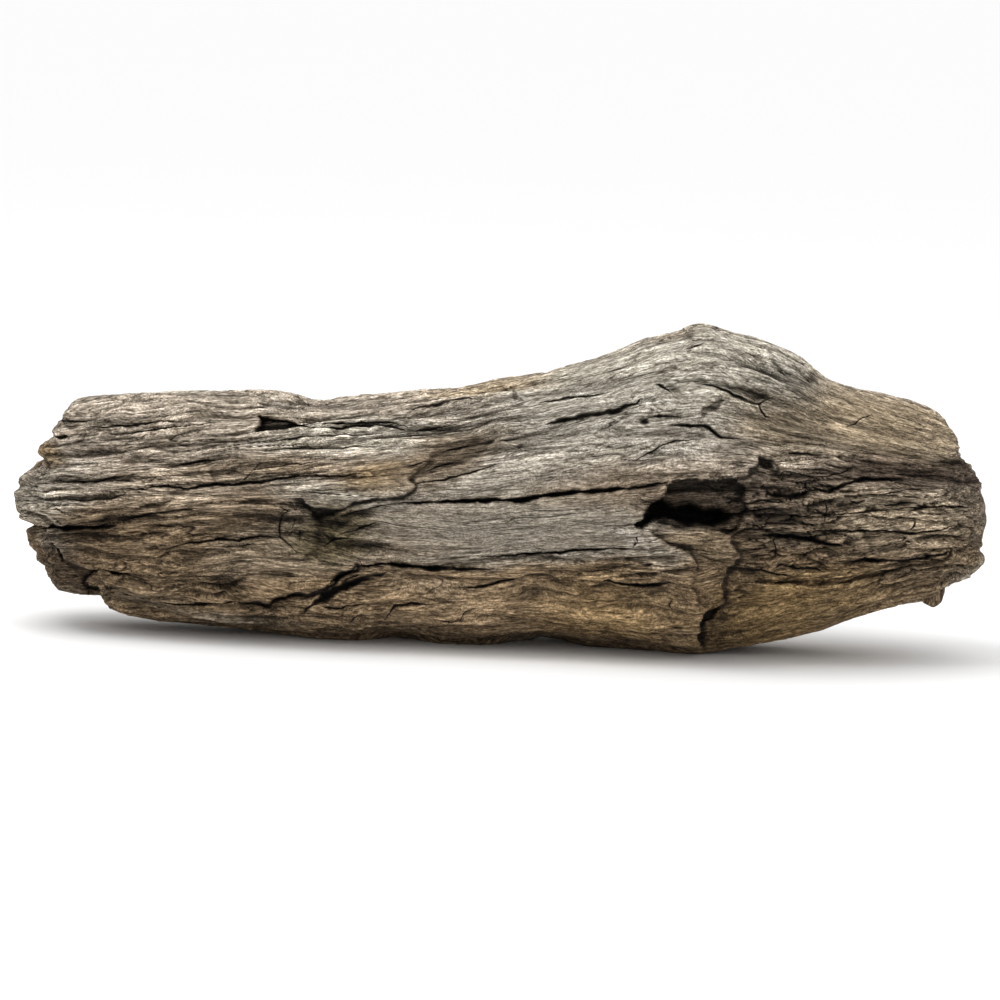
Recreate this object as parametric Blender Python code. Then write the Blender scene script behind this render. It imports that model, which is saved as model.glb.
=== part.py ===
import math

import bmesh
import bpy
import numpy as np
from mathutils import Vector
from mathutils.bvhtree import BVHTree

# A weathered driftwood log, lying level along X with its worn face towards -Y.
# Sizes are in millimetres here and turned into metres when the mesh is written.

MM = 0.001
SEED = 41
COLUMNS = 66
RINGS = 70
FRONT_CROWDING = 0.36

# The worn face is laid out in a plane that leans back by this angle:
# a runs along the log, b runs up it.
LAYOUT_LEAN = math.radians(8)

# Height of the upper and lower edge of the log, as (a, b).
TOP_LINE = [
    (-227.5, 57), (-227, 62), (-224.5, 66), (-221.5, 70), (-217.5, 74), (-215.5, 82), (-212.5, 85),
    (-210.5, 88), (-209, 93.5), (-208, 96), (-206.5, 99.5), (-203.5, 103), (-200, 105.5),
    (-195.5, 106.5), (-186, 107.5), (-170, 109), (-153.5, 110), (-135, 111), (-115.5, 112.5),
    (-107, 112.5), (-97.5, 111), (-92, 109), (-85.5, 109), (-76.5, 110.5), (-62.5, 112), (-51, 114),
    (-32.5, 116), (-18.5, 118.5), (-4.5, 122.5), (16.5, 125.5), (32.5, 131), (51, 137.5), (60, 142),
    (69.5, 144.5), (78.5, 147), (82, 149.5), (85, 150.5), (90.5, 150), (95.5, 148.5), (106.5, 145.5),
    (116, 143.5), (125.5, 140.5), (136, 134.5), (144.5, 128.5), (155, 125), (173, 122), (185, 120),
    (194.5, 116), (202.5, 110.5), (207, 103), (209, 97), (213, 92.5), (218, 86.5), (221.5, 79.5),
    (223, 74), (224, 66.5),
]
BOTTOM_LINE = [
    (-227.5, 55.5), (-226, 51), (-222.8, 48), (-221.8, 41.5), (-220, 36), (-217, 30.5),
    (-212.5, 26.5), (-210.5, 20.5), (-206, 16.5), (-198.5, 15), (-187, 15), (-183.5, 12),
    (-181, 9), (-173, 6), (-158.5, 4), (-121, 2), (-102.5, 0), (-74.5, -0.5), (-51, 3),
    (-39.5, 2.5), (-27.5, 0.5), (-9, 0.5), (5, 3), (19, 4.5), (30.5, 4), (40, 2.5), (75, 1.5),
    (89, 0), (100.5, 1), (114.5, 3), (131, 7.5), (149.5, 12), (163, 17.5), (177, 22.5),
    (188.5, 26), (198, 27.5), (204.5, 32), (211.5, 37), (218, 39.5), (222.5, 44), (223.5, 50),
    (223.8, 56), (224, 65.5),
]

# Half thickness from front to back, as (a, mm), and how the log wanders in plan.
FRONT_DEPTH = [
    (-228, 24), (-205, 34), (-150, 43), (-60, 49), (20, 53), (85, 58), (150, 50), (200, 38), (224, 24),
]
BACK_DEPTH = [
    (-228, 20), (-200, 30), (-140, 40), (-40, 47), (60, 52), (110, 50), (160, 42), (205, 32), (224, 20),
]
PLAN_WANDER = [(-228, 5), (-120, -2), (0, 2), (90, -3), (224, 6)]
END_ROUNDING = 22
END_BREAK = 4
SECTION_POWER = 0.8

# Growth layers across the worn face, from top to bottom, as (a, b). A bend in the
# grain is eased over FIBRE_EASING.
FIBRES = [
    [
        (-226, 100), (-141, 110), (-86, 107), (-40, 113), (22, 127), (50, 136), (85, 147),
        (114, 142), (132, 135), (156, 124), (180, 119), (222, 104),
    ],
    [
        (-226, 84), (-163, 89), (-117, 96), (-72, 100), (-26, 106), (18, 116), (50, 125),
        (86, 135), (114, 129), (132, 121), (156, 113), (222, 97),
    ],
    [
        (-226, 72), (-163, 77), (-117, 83), (-71, 88), (-26, 95), (23, 104), (60, 113),
        (87, 116), (107, 111), (129, 103), (157, 100), (222, 91),
    ],
    [
        (-226, 64), (-162, 67), (-116, 71), (-71, 76), (-25, 82), (42, 92), (87, 97), (115, 97),
        (157, 94), (222, 86),
    ],
    [
        (-226, 57), (-205, 56), (-162, 60), (-116, 64), (-70, 66), (-25, 65), (20, 69), (70, 75),
        (157, 81), (222, 79),
    ],
    [(-226, 48), (-204, 46), (-176, 49), (-116, 56), (-79, 54), (-24, 51), (21, 55), (107, 62), (222, 69)],
    [(-226, 37), (-161, 38), (-115, 43), (-69, 40), (-46, 36), (-1, 41), (62, 47), (158, 50), (222, 58)],
    [(-226, 25), (-161, 24), (-115, 27), (-78, 26), (-23, 31), (62, 33), (150, 33), (182, 41), (222, 48)],
    [(-226, 17), (-174, 9), (-137, 4), (-77, 2), (18, 6), (64, 4), (91, 2), (119, 6), (164, 20), (222, 38)],
]
FIBRE_PITCH = 14
FIBRE_EASING = 16

# Broken ledges of the worn face: (path, drop, reach of the raised side, reach of
# the sunken side). The wood on the left of the path stands higher.
LEDGES = [
    # torn tongue left of the middle: its lower and its upper edge
    ([
        (-120, 15.5), (-104.5, 15.5), (-98.5, 19.5), (-87, 20.5), (-83.5, 21.5), (-79, 26),
        (-72.5, 31.5), (-67, 36), (-64.5, 38.5),
    ], 6, 22, 14),
    ([(-64.5, 38.5), (-69.5, 39.5), (-76.5, 38), (-88.5, 35), (-92, 32.5)], 2, 8, 8),
    # the layer under the tongue, and a small plate beside it
    ([(-125.5, 8), (-105, 8.5), (-99, 10), (-91.5, 12), (-87, 16.5)], 3, 8, 12),
    ([(-75.5, 22.5), (-64.5, 27.5), (-53.5, 31.5), (-51.5, 34), (-57, 36)], 2.5, 8, 12),
    # curled layer over the mossy hollow, up to its tip
    ([
        (-124, 52), (-112.5, 54), (-104, 57), (-97.5, 62.5), (-92, 63.5), (-86, 60), (-78, 60),
        (-70.5, 62.5), (-57, 65.5), (-47, 66.5), (-41.5, 71), (-45.5, 74.5),
    ], 6, 9, 8),
    # outer layer lost at the lower left end, and the bulge above it
    ([
        (-210.5, 41), (-199, 35.5), (-192.5, 30), (-188, 27.5), (-185.5, 26.5), (-187.5, 23.5),
        (-190, 20), (-186, 18), (-183, 13),
    ], 6, 24, 34),
    ([
        (-219, 54), (-206, 47.5), (-196, 46.5), (-183.5, 49.5), (-176.5, 52), (-161, 57), (-147, 60.5),
    ], 3.5, 14, 12),
    # the grey panel stands over the lower strip
    ([(-50, 33), (-36, 32.5), (-7.5, 33), (19.5, 34.5), (46.5, 33.5), (61.5, 31.5), (76, 33.5)], 2.2, 14, 12),
    # thin plate over the broken end of the lower block
    ([
        (56, 42), (60, 37.5), (69, 36), (78, 36), (85.5, 40.5), (85, 45.5), (79, 49), (70.5, 52), (64, 56.5),
    ], 2, 10, 10),
    # crest behind the hump
    ([(132.5, 124.5), (124, 128.5), (116.5, 136.5), (112.5, 142.5)], 1.8, 12, 14),
    # broken strips of the decayed area
    ([(115, 57.5), (126.5, 57.5), (149.5, 54), (169, 56.5), (180, 57), (198.5, 61), (206.5, 62.5)], 2, 8, 6),
    ([(119, 50.5), (133, 51.5), (147, 48.5), (180, 50), (204, 55)], 2, 8, 7),
    ([(206.5, 53), (190.5, 44), (167, 37), (155, 32.5), (136.5, 30.5), (122, 31.5), (113, 32)], 3, 18, 14),
]

# Parts that lie deeper than the wood round them: (outline, depth, width of the wall).
REGIONS = [
    # mossy hollow
    ([
        (-92, 61), (-83, 59), (-72.5, 60.5), (-62, 61), (-54, 54), (-54, 44), (-62, 40), (-76.5, 38),
        (-90, 36), (-89, 43), (-88.5, 49), (-90.5, 55.5),
    ], 4.5, 6),
    # broken end of the lower block
    ([
        (66.5, 55), (74.5, 57), (96.5, 55), (102, 51.5), (104, 46.5), (100, 33.5), (99, 24.5),
        (91.5, 19.5), (87, 24), (85.5, 35.5), (85, 44), (75, 48.5),
    ], 2.5, 3),
    # lens hollow on the hump
    ([(85.5, 122.5), (105, 123.5), (119.5, 118), (112.5, 114), (101, 117), (92, 121)], 3.2, 3.5),
    # fibres lost beside the tip of the curled layer
    ([(-46, 73), (-37, 84), (-17, 93), (-3.5, 95), (-7.5, 88), (-28, 78), (-42.5, 71)], 2.5, 3),
]

# Shallow hollows of the worn face: (a, b, half length, half height, lean in degrees, depth).
HOLLOWS = [
    (63, 32, 18, 4, -4, 2),
    (-127.5, 23.5, 12, 4, -5, 6),
    (-150, 70, 30, 5, 5, 1.5),
    (-186, 45, 9, 4, -4, 3),
    (40, 118, 26, 3, 12, 1.6),
    (160, 46, 22, 4, 16, 3.5),
]

# The right half below the grey layers has lost its outer wood: outline of that area,
# least and greatest step down, where the step is greatest, how far that reaches, and
# the width of the wall.
SHELF_OUTLINE = [
    (92, -7.5), (91, 6), (92.5, 9.5), (91, 17), (97, 21.5), (100, 29), (101.5, 36), (105, 45),
    (102.5, 51.5), (95, 56), (80, 57), (65.5, 58), (59, 56.5), (64, 64), (69, 69), (71, 75.5),
    (78.5, 79), (94.5, 79), (107, 82), (112, 90), (120.5, 90.5), (123, 85), (134, 84), (150.5, 84.5),
    (157, 88.5), (171, 91), (195, 92), (210, 93), (233.5, 95), (237.5, -3.5),
]
SHELF_LEAST = 2.5
SHELF_MOST = 9
SHELF_CENTRE = 92
SHELF_REACH = 34
SHELF_WALL = 2

# Long cracks of the worn face: (path, width, depth).
CRACKS = [
    ([(-48.5, 63), (-20.5, 65), (7, 66.5), (31.5, 71), (45, 72.5), (70, 75.5)], 2, 12),
    ([(-65, 39), (-56, 38.5), (-41, 36.5), (-18, 37.5), (1, 38)], 2.6, 8),
    ([(1, 41.5), (26, 44), (62, 47)], 1.2, 6),
    ([(21.5, 102), (41.5, 106.5), (55.5, 110.5), (64.5, 115)], 2.2, 5),
    ([(-92, 97), (-74, 97.5), (-48.5, 98)], 1.4, 5),
    ([(-223, 50), (-208, 50), (-189.5, 48.5), (-181, 49.5)], 3, 9),
    ([(-172.5, 64.5), (-151, 65.5), (-123.5, 68.5), (-95.5, 73), (-66, 75)], 1.5, 5),
    ([(-160, 37), (-141.5, 42.5), (-122.5, 43.5), (-103.5, 43.5)], 1.2, 4),
    ([(-91.5, 10.5), (-82, 18), (-70, 23), (-60, 27.5), (-50, 30.5)], 2.8, 6),
    ([(116.5, 76), (127, 73.5), (137, 74.5), (152.5, 79.5), (171, 83)], 2.4, 7),
    ([(116, 54), (134, 53.5), (153, 52)], 2.4, 6),
    ([(151, 46), (184, 46.5), (196.5, 50.5), (206.5, 52.5)], 1.8, 5),
    ([(85, 121.5), (98, 118.5), (108.5, 114.5), (119.5, 118)], 1.6, 5),
]

# Openings of the worn face: (outline, depth, how much smaller the floor is).
OPENINGS = [
    # the dark cavity under the broken ledge
    ([
        (58, 57.5), (62.5, 57), (69, 58.5), (80, 58), (95, 57), (103, 56.5), (108, 60), (108, 68),
        (98, 69.5), (80, 70), (74, 71), (71, 72), (68, 68.5), (64, 64),
    ], 28, 0.6),
    # slot in the upper edge
    ([(-112.5, 101), (-105.5, 99), (-93, 96), (-99, 95), (-112, 94)], 13, 0.5),
    # fold under the curled layer
    ([(-91.5, 60), (-83, 58.5), (-72.5, 60.5), (-77, 56), (-83, 54.5), (-90, 55.5)], 6, 0.6),
]

# Lobes and notches of the two broken ends: (height up the log, how far to the right, half width).
LEFT_LOBES = [(87, 4, 2.5), (82, -2, 4), (77, 2.5, 2), (65, -2, 8), (46.5, 4, 3), (33, 2, 3)]
RIGHT_LOBES = [(93, -2, 3), (66, 2, 6), (52, -2, 3), (44, 1.5, 5)]

# The far side, laid out as (x, z).
BACK_CRACKS = [
    ([(-180, 72), (-120, 66), (-60, 70), (-10, 64)], 2.2, 10),
    ([(-40, 95), (10, 92), (70, 99), (120, 94)], 1.8, 8),
    ([(20, 42), (80, 47), (150, 52), (196, 60)], 2.2, 10),
]
BACK_LEDGES = [
    ([(-205, 40), (-150, 34), (-90, 38), (-52, 30), (-20, 36)], 5, 26, 22),
    ([(60, 24), (64, 40), (58, 56), (66, 74), (60, 92)], 5, 50, 40),
    ([(190, 92), (140, 84), (100, 88), (70, 80)], 4, 22, 20),
]
BACK_HOLLOWS = [
    (-96, 84, 17, 12, 8, 9),
    (126, 62, 30, 9, 5, 5),
    (10, 58, 34, 7, -4, 3),
]

# The top, laid out as (x, y).
TOP_CRACKS = [
    ([(-186, 2), (-140, 8), (-96, 4), (-60, 9)], 2, 8),
    ([(-34, -4), (20, 3), (64, 12)], 2, 7),
    ([(96, 4), (138, 10), (190, 5)], 2, 7),
]

# Flat spot worn under the middle, as half length, half width and centre (x, y).
REST_HALF = (88, 17)
REST_CENTRE = (2, 6)
REST_WEAR = 1.4

# Broken twig end under the right end: centre (x, y, z) and half sizes.
TWIG_CENTRE = (201, -8, 32.5)
TWIG_HALF = (5, 5, 6.5)


def smooth(low, high, value):
    t = np.clip((value - low) / (high - low), 0, 1)
    return t * t * (3 - 2 * t)


def along(line, x):
    points = np.array(line, float)
    return np.interp(x, points[:, 0], points[:, 1])


def gradient_noise(x, y, z, seed):
    """Smooth noise from -1 to 1 with a grid of one unit."""
    rng = np.random.default_rng(seed)
    order = np.tile(rng.permutation(256), 3)
    slopes = rng.normal(size=(256, 3))
    slopes /= np.linalg.norm(slopes, axis=1)[:, None]
    cell = [np.floor(v).astype(int) for v in (x, y, z)]
    part = [v - c for v, c in zip((x, y, z), cell)]
    fade = [t * t * t * (t * (6 * t - 15) + 10) for t in part]
    total = np.zeros_like(part[0])
    for i in (0, 1):
        for j in (0, 1):
            for k in (0, 1):
                index = order[(cell[0] + i) % 256]
                index = order[index + (cell[1] + j) % 256]
                slope = slopes[order[index + (cell[2] + k) % 256]]
                height = slope[..., 0] * (part[0] - i)
                height += slope[..., 1] * (part[1] - j)
                height += slope[..., 2] * (part[2] - k)
                weight = fade[0] if i else 1 - fade[0]
                weight = weight * (fade[1] if j else 1 - fade[1])
                weight = weight * (fade[2] if k else 1 - fade[2])
                total += weight * height
    return total * 1.6


def fibre_height(a, b):
    """Height across the grain, so that the noise below follows the growth layers."""
    steps = np.linspace(-FIBRE_EASING, FIBRE_EASING, 5)
    heights = np.stack([sum(along(line, a + step) for step in steps) / 5 for line in FIBRES])
    level = np.zeros_like(b)
    for k in range(len(FIBRES) - 1):
        upper, lower = heights[k], heights[k + 1]
        share = (upper - b) / np.maximum(upper - lower, 1.5)
        first = k == 0
        last = k == len(FIBRES) - 2
        level += np.clip(share, -3 if first else 0, 4 if last else 1)
    return -level * FIBRE_PITCH


def path_distance(a, b, path):
    """Distance to the path, side of it (1 on the left), and length along it."""
    points = np.array(path, float)
    best = np.full_like(a, 1e9)
    side = np.ones_like(a)
    run = np.zeros_like(a)
    start = 0.0
    for p, q in zip(points[:-1], points[1:]):
        step = q - p
        size = np.hypot(*step)
        share = ((a - p[0]) * step[0] + (b - p[1]) * step[1]) / size**2
        share = np.clip(share, 0, 1)
        away = np.hypot(a - p[0] - share * step[0], b - p[1] - share * step[1])
        near = away < best
        turn = step[0] * (b - p[1]) - step[1] * (a - p[0])
        side = np.where(near, np.where(turn >= 0, 1.0, -1.0), side)
        run = np.where(near, start + share * size, run)
        best = np.minimum(best, away)
        start += size
    return best, side, run, start


def ledge_height(a, b, ledge):
    path, drop, reach_up, reach_down = ledge
    away, side, run, length = path_distance(a, b, path)
    ends = smooth(0, 9, run) * smooth(0, 9, length - run)
    edge = np.tanh(away / 1.6)
    up = edge * np.exp(-((away / reach_up) ** 1.5))
    down = edge * np.exp(-((away / reach_down) ** 1.5))
    return ends * drop * np.where(side > 0, 0.4 * up, -0.6 * down)


def hollow_height(a, b, hollow):
    centre_a, centre_b, half_a, half_b, lean, depth = hollow
    cos, sin = math.cos(math.radians(lean)), math.sin(math.radians(lean))
    u = ((a - centre_a) * cos + (b - centre_b) * sin) / half_a
    v = (-(a - centre_a) * sin + (b - centre_b) * cos) / half_b
    return -depth * np.exp(-((u * u + v * v) ** 1.3))


def inside_outline(a, b, outline):
    """Even-odd test of the points against a closed outline."""
    inside = np.zeros(len(a), bool)
    for (a0, b0), (a1, b1) in zip(outline, outline[1:] + outline[:1]):
        if b0 != b1:
            crossing = (b0 > b) != (b1 > b)
            inside ^= crossing & (a < (a1 - a0) * (b - b0) / (b1 - b0) + a0)
    return inside


def region_height(a, b, region):
    outline, depth, wall = region
    away = path_distance(a, b, outline + outline[:1])[0]
    return -depth * inside_outline(a, b, outline) * smooth(0, wall, away)


def shelf_height(a, b):
    """The step down from the outer layers to the area that has lost them."""
    away = path_distance(a, b, SHELF_OUTLINE)[0]
    drop = SHELF_LEAST + SHELF_MOST * np.exp(-(((a - SHELF_CENTRE) / SHELF_REACH) ** 2))
    drop *= smooth(-10, 12, b) * 0.35 + 0.65
    return -drop * inside_outline(a, b, SHELF_OUTLINE) * np.tanh(away / SHELF_WALL)


def face_height(a, b, ledges, hollows, regions=()):
    total = np.zeros_like(a)
    for ledge in ledges:
        total += ledge_height(a, b, ledge)
    for hollow in hollows:
        total += hollow_height(a, b, hollow)
    for region in regions:
        total += region_height(a, b, region)
    return total


def grain_height(x, y, b):
    """Lumps, strands and layer edges that run with the grain, all round the log."""
    f = fibre_height(x, b)
    lumps = 2.4 * gradient_noise(x / 62, f / 24, y / 26, SEED)
    strands = 1 - 2 * np.abs(gradient_noise(x / 95, f / 12, y / 13, SEED + 1))
    layers = gradient_noise(x / 120, f / 15, y / 20, SEED + 2) * 3
    share = layers - np.floor(layers)
    layers = np.floor(layers) + smooth(0.3, 0.7, share)
    return lumps + 1.2 * (strands - 0.4) + 0.9 * (layers + 0.5)


def broken_end(x, y, b):
    """How far the layers stop short of the two broken ends, or stand out there."""
    steps = gradient_noise(fibre_height(x, b) / 13, y / 17, np.sign(x) * 3.3 + 0 * x, SEED + 3)
    near = smooth(30, 8, np.minimum(x - TOP_LINE[0][0], TOP_LINE[-1][0] - x))
    lobes = np.zeros_like(x)
    for side, found in ((x < 0, LEFT_LOBES), (x > 0, RIGHT_LOBES)):
        for height, shift, half in found:
            lobes += side * shift * np.exp(-(((b - height) / half) ** 2))
    return near * (lobes - np.sign(x) * END_BREAK * smooth(-0.25, 0.3, steps))


def worn_less(a, b):
    """How much of the grain relief is left on the smoother parts of the worn face."""
    panel = smooth(-84, -60, a) * smooth(78, 60, a) * smooth(38, 46, b) * smooth(92, 80, b)
    shoulder = smooth(104, 118, a) * smooth(84, 96, b)
    hump = smooth(-10, 10, a) * smooth(118, 98, a) * smooth(87, 97, b)
    return 1 - 0.6 * panel - 0.45 * shoulder - 0.5 * hump


def meridian_stations(count):
    """Positions of the rings, evenly spaced along the outline from end to end."""
    x = np.linspace(TOP_LINE[0][0], TOP_LINE[-1][0], 4000)
    radius = (along(TOP_LINE, x) - along(BOTTOM_LINE, x)) / 2
    radius = np.minimum(radius, 55) * end_share(x)
    length = np.concatenate([[0], np.cumsum(np.hypot(np.diff(x), np.diff(radius)))])
    return np.interp(np.linspace(0, length[-1], count), length, x)


def end_share(x):
    left, right = TOP_LINE[0][0], TOP_LINE[-1][0]
    u = np.clip(np.minimum(x - left, right - x) / END_ROUNDING, 0, 1)
    return np.sqrt(np.maximum(1 - (1 - u) ** 3, 0))


def base_surface(x, angle):
    """Points of the plain log, angle 0 at the worn face and 90 degrees on top."""
    top, bottom = along(TOP_LINE, x), along(BOTTOM_LINE, x)
    cos, sin = np.cos(angle), np.sin(angle)
    across = np.sign(cos) * np.abs(cos) ** SECTION_POWER
    up = np.sign(sin) * np.abs(sin) ** SECTION_POWER
    depth = np.where(cos > 0, along(FRONT_DEPTH, x), along(BACK_DEPTH, x)) * end_share(x)
    y = along(PLAN_WANDER, x) - depth * across
    b = (top + bottom) / 2 + (top - bottom) / 2 * up
    return x, y, b


def log_mesh():
    """A UV sphere whose poles are the two ends, with every vertex moved to the log."""
    bm = bmesh.new()
    bmesh.ops.create_uvsphere(bm, u_segments=COLUMNS, v_segments=RINGS, radius=1)
    unit = np.array([v.co for v in bm.verts], float)
    ring = np.rint(np.arccos(np.clip(unit[:, 2], -1, 1)) / math.pi * RINGS).astype(int)
    turn = np.arctan2(unit[:, 1], unit[:, 0])
    angle = turn - FRONT_CROWDING * np.sin(turn)
    x, y, b = base_surface(meridian_stations(RINGS + 1)[ring], -angle)
    set_points(bm, x, y, b)
    if bm.calc_volume(signed=True) < 0:
        bmesh.ops.reverse_faces(bm, faces=bm.faces[:])
    normal = normals_of(bm)

    lean_sin, lean_cos = math.sin(LAYOUT_LEAN), math.cos(LAYOUT_LEAN)
    z = (b - y * lean_sin) / lean_cos
    front = smooth(0.05, 0.45, normal[:, 2] * lean_sin - normal[:, 1] * lean_cos)
    back = smooth(0.05, 0.45, normal[:, 1])
    under = rest_share(x, y) * smooth(-0.5, -0.85, normal[:, 2])

    relief = grain_height(x, y, b) * (1 - (1 - worn_less(x, b)) * front) * (1 - under)
    # The outline already holds the bumps that stand against the sky, so that only
    # grooves are added there.
    rim = smooth(0.5, 0.1, np.abs(normal[:, 2] * lean_sin - normal[:, 1] * lean_cos))
    relief = np.maximum(relief, 0) * (1 - 0.85 * rim) + np.minimum(relief, 0) * (1 - 0.2 * rim)
    relief *= 0.35 + 0.65 * end_share(x)
    relief += face_height(x, z, BACK_LEDGES, BACK_HOLLOWS) * back
    carved = (face_height(x, b, LEDGES, HOLLOWS, REGIONS) + shelf_height(x, b)) * front
    x = x + normal[:, 0] * relief + broken_end(x, y, b) * smooth(0.95, 0.7, np.abs(normal[:, 2]))
    y = y + normal[:, 1] * relief - carved * lean_cos
    z = z + normal[:, 2] * relief + carved * lean_sin
    # The underside is worn flat where the weight of the log bears.
    floor = z.min() + REST_WEAR
    worn = rest_share(x, y) > 0.5
    z = np.where(worn & (z < floor + 2.6), floor, np.maximum(z, floor + 0.4 * ~worn))
    for vert, place in zip(bm.verts, np.stack([x, y, z], axis=1)):
        vert.co = place
    return bm


def rest_share(x, y):
    u = np.abs(x - REST_CENTRE[0]) / REST_HALF[0]
    v = np.abs(y - REST_CENTRE[1]) / REST_HALF[1]
    return smooth(1.25, 0.95, u) * smooth(1.6, 0.95, v)


def set_points(bm, x, y, b):
    z = (b - y * math.sin(LAYOUT_LEAN)) / math.cos(LAYOUT_LEAN)
    for vert, place in zip(bm.verts, np.stack([x, y, z], axis=1)):
        vert.co = place


def normals_of(bm):
    bm.normal_update()
    return np.array([v.normal for v in bm.verts], float)


def object_of(bm, name, collection):
    bmesh.ops.scale(bm, vec=(MM, MM, MM), verts=bm.verts[:])
    bmesh.ops.recalc_face_normals(bm, faces=bm.faces[:])
    mesh = bpy.data.meshes.new(name)
    bm.to_mesh(mesh)
    bm.free()
    result = bpy.data.objects.new(name, mesh)
    collection.objects.link(result)
    return result


def surface_hit(tree, a, b, direction):
    """The point of the log that is seen at (a, b) along the direction, in millimetres."""
    if direction.z < -0.9:
        middle = Vector((a, b, 0))
    elif direction.y > 0:
        middle = Vector((a, 0, b / math.cos(LAYOUT_LEAN)))
    else:
        middle = Vector((a, 0, b))
    return tree.ray_cast(middle - direction * 300, direction)[0]


def crack_cutter(tree, crack, direction):
    """A wedge along the path: widest in the middle, pointed at its ends and inwards."""
    path, width, depth = crack
    bm = bmesh.new()
    points = np.array(path, float)
    length = np.concatenate([[0], np.cumsum(np.hypot(*np.diff(points, axis=0).T))])
    count = max(5, int(length[-1] / 13))
    rows = []
    for share in np.linspace(0, 1, count):
        a = np.interp(share * length[-1], length, points[:, 0])
        b = np.interp(share * length[-1], length, points[:, 1])
        hit = surface_hit(tree, a, b, direction)
        if hit is None:
            continue
        swell = 0.25 + 0.75 * math.sin(math.pi * share) ** 0.6
        wide = Vector((0, -direction.z, abs(direction.y))).normalized() * width * swell * 2.2
        rows.append([
            bm.verts.new(hit - direction * 6 + wide),
            bm.verts.new(hit - direction * 6 - wide),
            bm.verts.new(hit + direction * depth * swell),
        ])
    for left, right in zip(rows[:-1], rows[1:]):
        for i in range(3):
            j = (i + 1) % 3
            bm.faces.new([left[i], left[j], right[j], right[i]])
    bm.faces.new(rows[0])
    bm.faces.new(rows[-1][::-1])
    bmesh.ops.triangulate(bm, faces=bm.faces[:])
    return bm


def opening_cutter(tree, opening, direction):
    """A pocket behind the outline, smaller at its floor than at its mouth."""
    outline, depth, shrink = opening
    bm = bmesh.new()
    points = np.array(outline, float)
    centre = points.mean(axis=0)
    hits = [surface_hit(tree, a, b, direction) for a, b in points]
    middle = surface_hit(tree, *centre, direction)
    mouth, lip, floor = [], [], []
    for hit, (a, b) in zip(hits, points):
        inward = Vector(((centre[0] - a), 0, (centre[1] - b))) * (1 - shrink)
        mouth.append(bm.verts.new(hit - direction * 25))
        lip.append(bm.verts.new(hit))
        base = middle + direction * depth
        floor.append(bm.verts.new(Vector((hit.x, base.y, hit.z - (base.y - hit.y) * 0.1)) + inward))
    for near, far in ((mouth, lip), (lip, floor)):
        for i in range(len(near)):
            j = (i + 1) % len(near)
            bm.faces.new([near[i], near[j], far[j], far[i]])
    bm.faces.new(mouth)
    bm.faces.new(floor[::-1])
    bmesh.ops.triangulate(bm, faces=bm.faces[:])
    return bm


def twig_stub():
    bm = bmesh.new()
    bmesh.ops.create_uvsphere(bm, u_segments=12, v_segments=8, radius=1)
    bmesh.ops.scale(bm, vec=TWIG_HALF, verts=bm.verts[:])
    bmesh.ops.translate(bm, vec=TWIG_CENTRE, verts=bm.verts[:])
    return bm


def wood_material():
    material = bpy.data.materials.new("weathered wood")
    material.use_nodes = True
    shader = material.node_tree.nodes["Principled BSDF"]
    shader.inputs["Base Color"].default_value = (0.23, 0.185, 0.135, 1)
    shader.inputs["Roughness"].default_value = 0.88
    shader.inputs["Metallic"].default_value = 0
    return material


def join(target, tool, operation):
    modifier = target.modifiers.new(tool.name, "BOOLEAN")
    modifier.operation = operation
    modifier.object = tool
    modifier.solver = "EXACT"
    tool.hide_render = True
    tool.display_type = "WIRE"


for old in list(bpy.data.objects):
    bpy.data.objects.remove(old)

scene_collection = bpy.context.scene.collection
tools = bpy.data.collections.new("tools")
scene_collection.children.link(tools)
tools.hide_render = True

body = log_mesh()
tree = BVHTree.FromBMesh(body)
box = np.array([v.co for v in body.verts])
low, high = box.min(axis=0), box.max(axis=0)
shift = Vector(((low[0] + high[0]) / -2, (low[1] + high[1]) / -2, -low[2]))

toward_back = Vector((0, math.cos(LAYOUT_LEAN), -math.sin(LAYOUT_LEAN)))
toward_front = Vector((0, -1, 0))
downward = Vector((0, 0, -1))
pieces = []
for opening in OPENINGS:
    pieces.append(("opening", opening_cutter(tree, opening, toward_back), "DIFFERENCE"))
for crack in CRACKS:
    pieces.append(("crack", crack_cutter(tree, crack, toward_back), "DIFFERENCE"))
for crack in BACK_CRACKS:
    pieces.append(("back_crack", crack_cutter(tree, crack, toward_front), "DIFFERENCE"))
for crack in TOP_CRACKS:
    pieces.append(("top_crack", crack_cutter(tree, crack, downward), "DIFFERENCE"))
pieces.append(("twig", twig_stub(), "UNION"))

bmesh.ops.translate(body, vec=shift, verts=body.verts[:])
driftwood = object_of(body, "driftwood", scene_collection)
driftwood.data.materials.append(wood_material())
for number, (label, tool_mesh, operation) in enumerate(pieces):
    bmesh.ops.translate(tool_mesh, vec=shift, verts=tool_mesh.verts[:])
    tool = object_of(tool_mesh, f"{label}_{number:02d}", tools)
    join(driftwood, tool, operation)
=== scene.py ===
import math

import bmesh
import bpy
import numpy as np
from mathutils import Matrix, Vector


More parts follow.
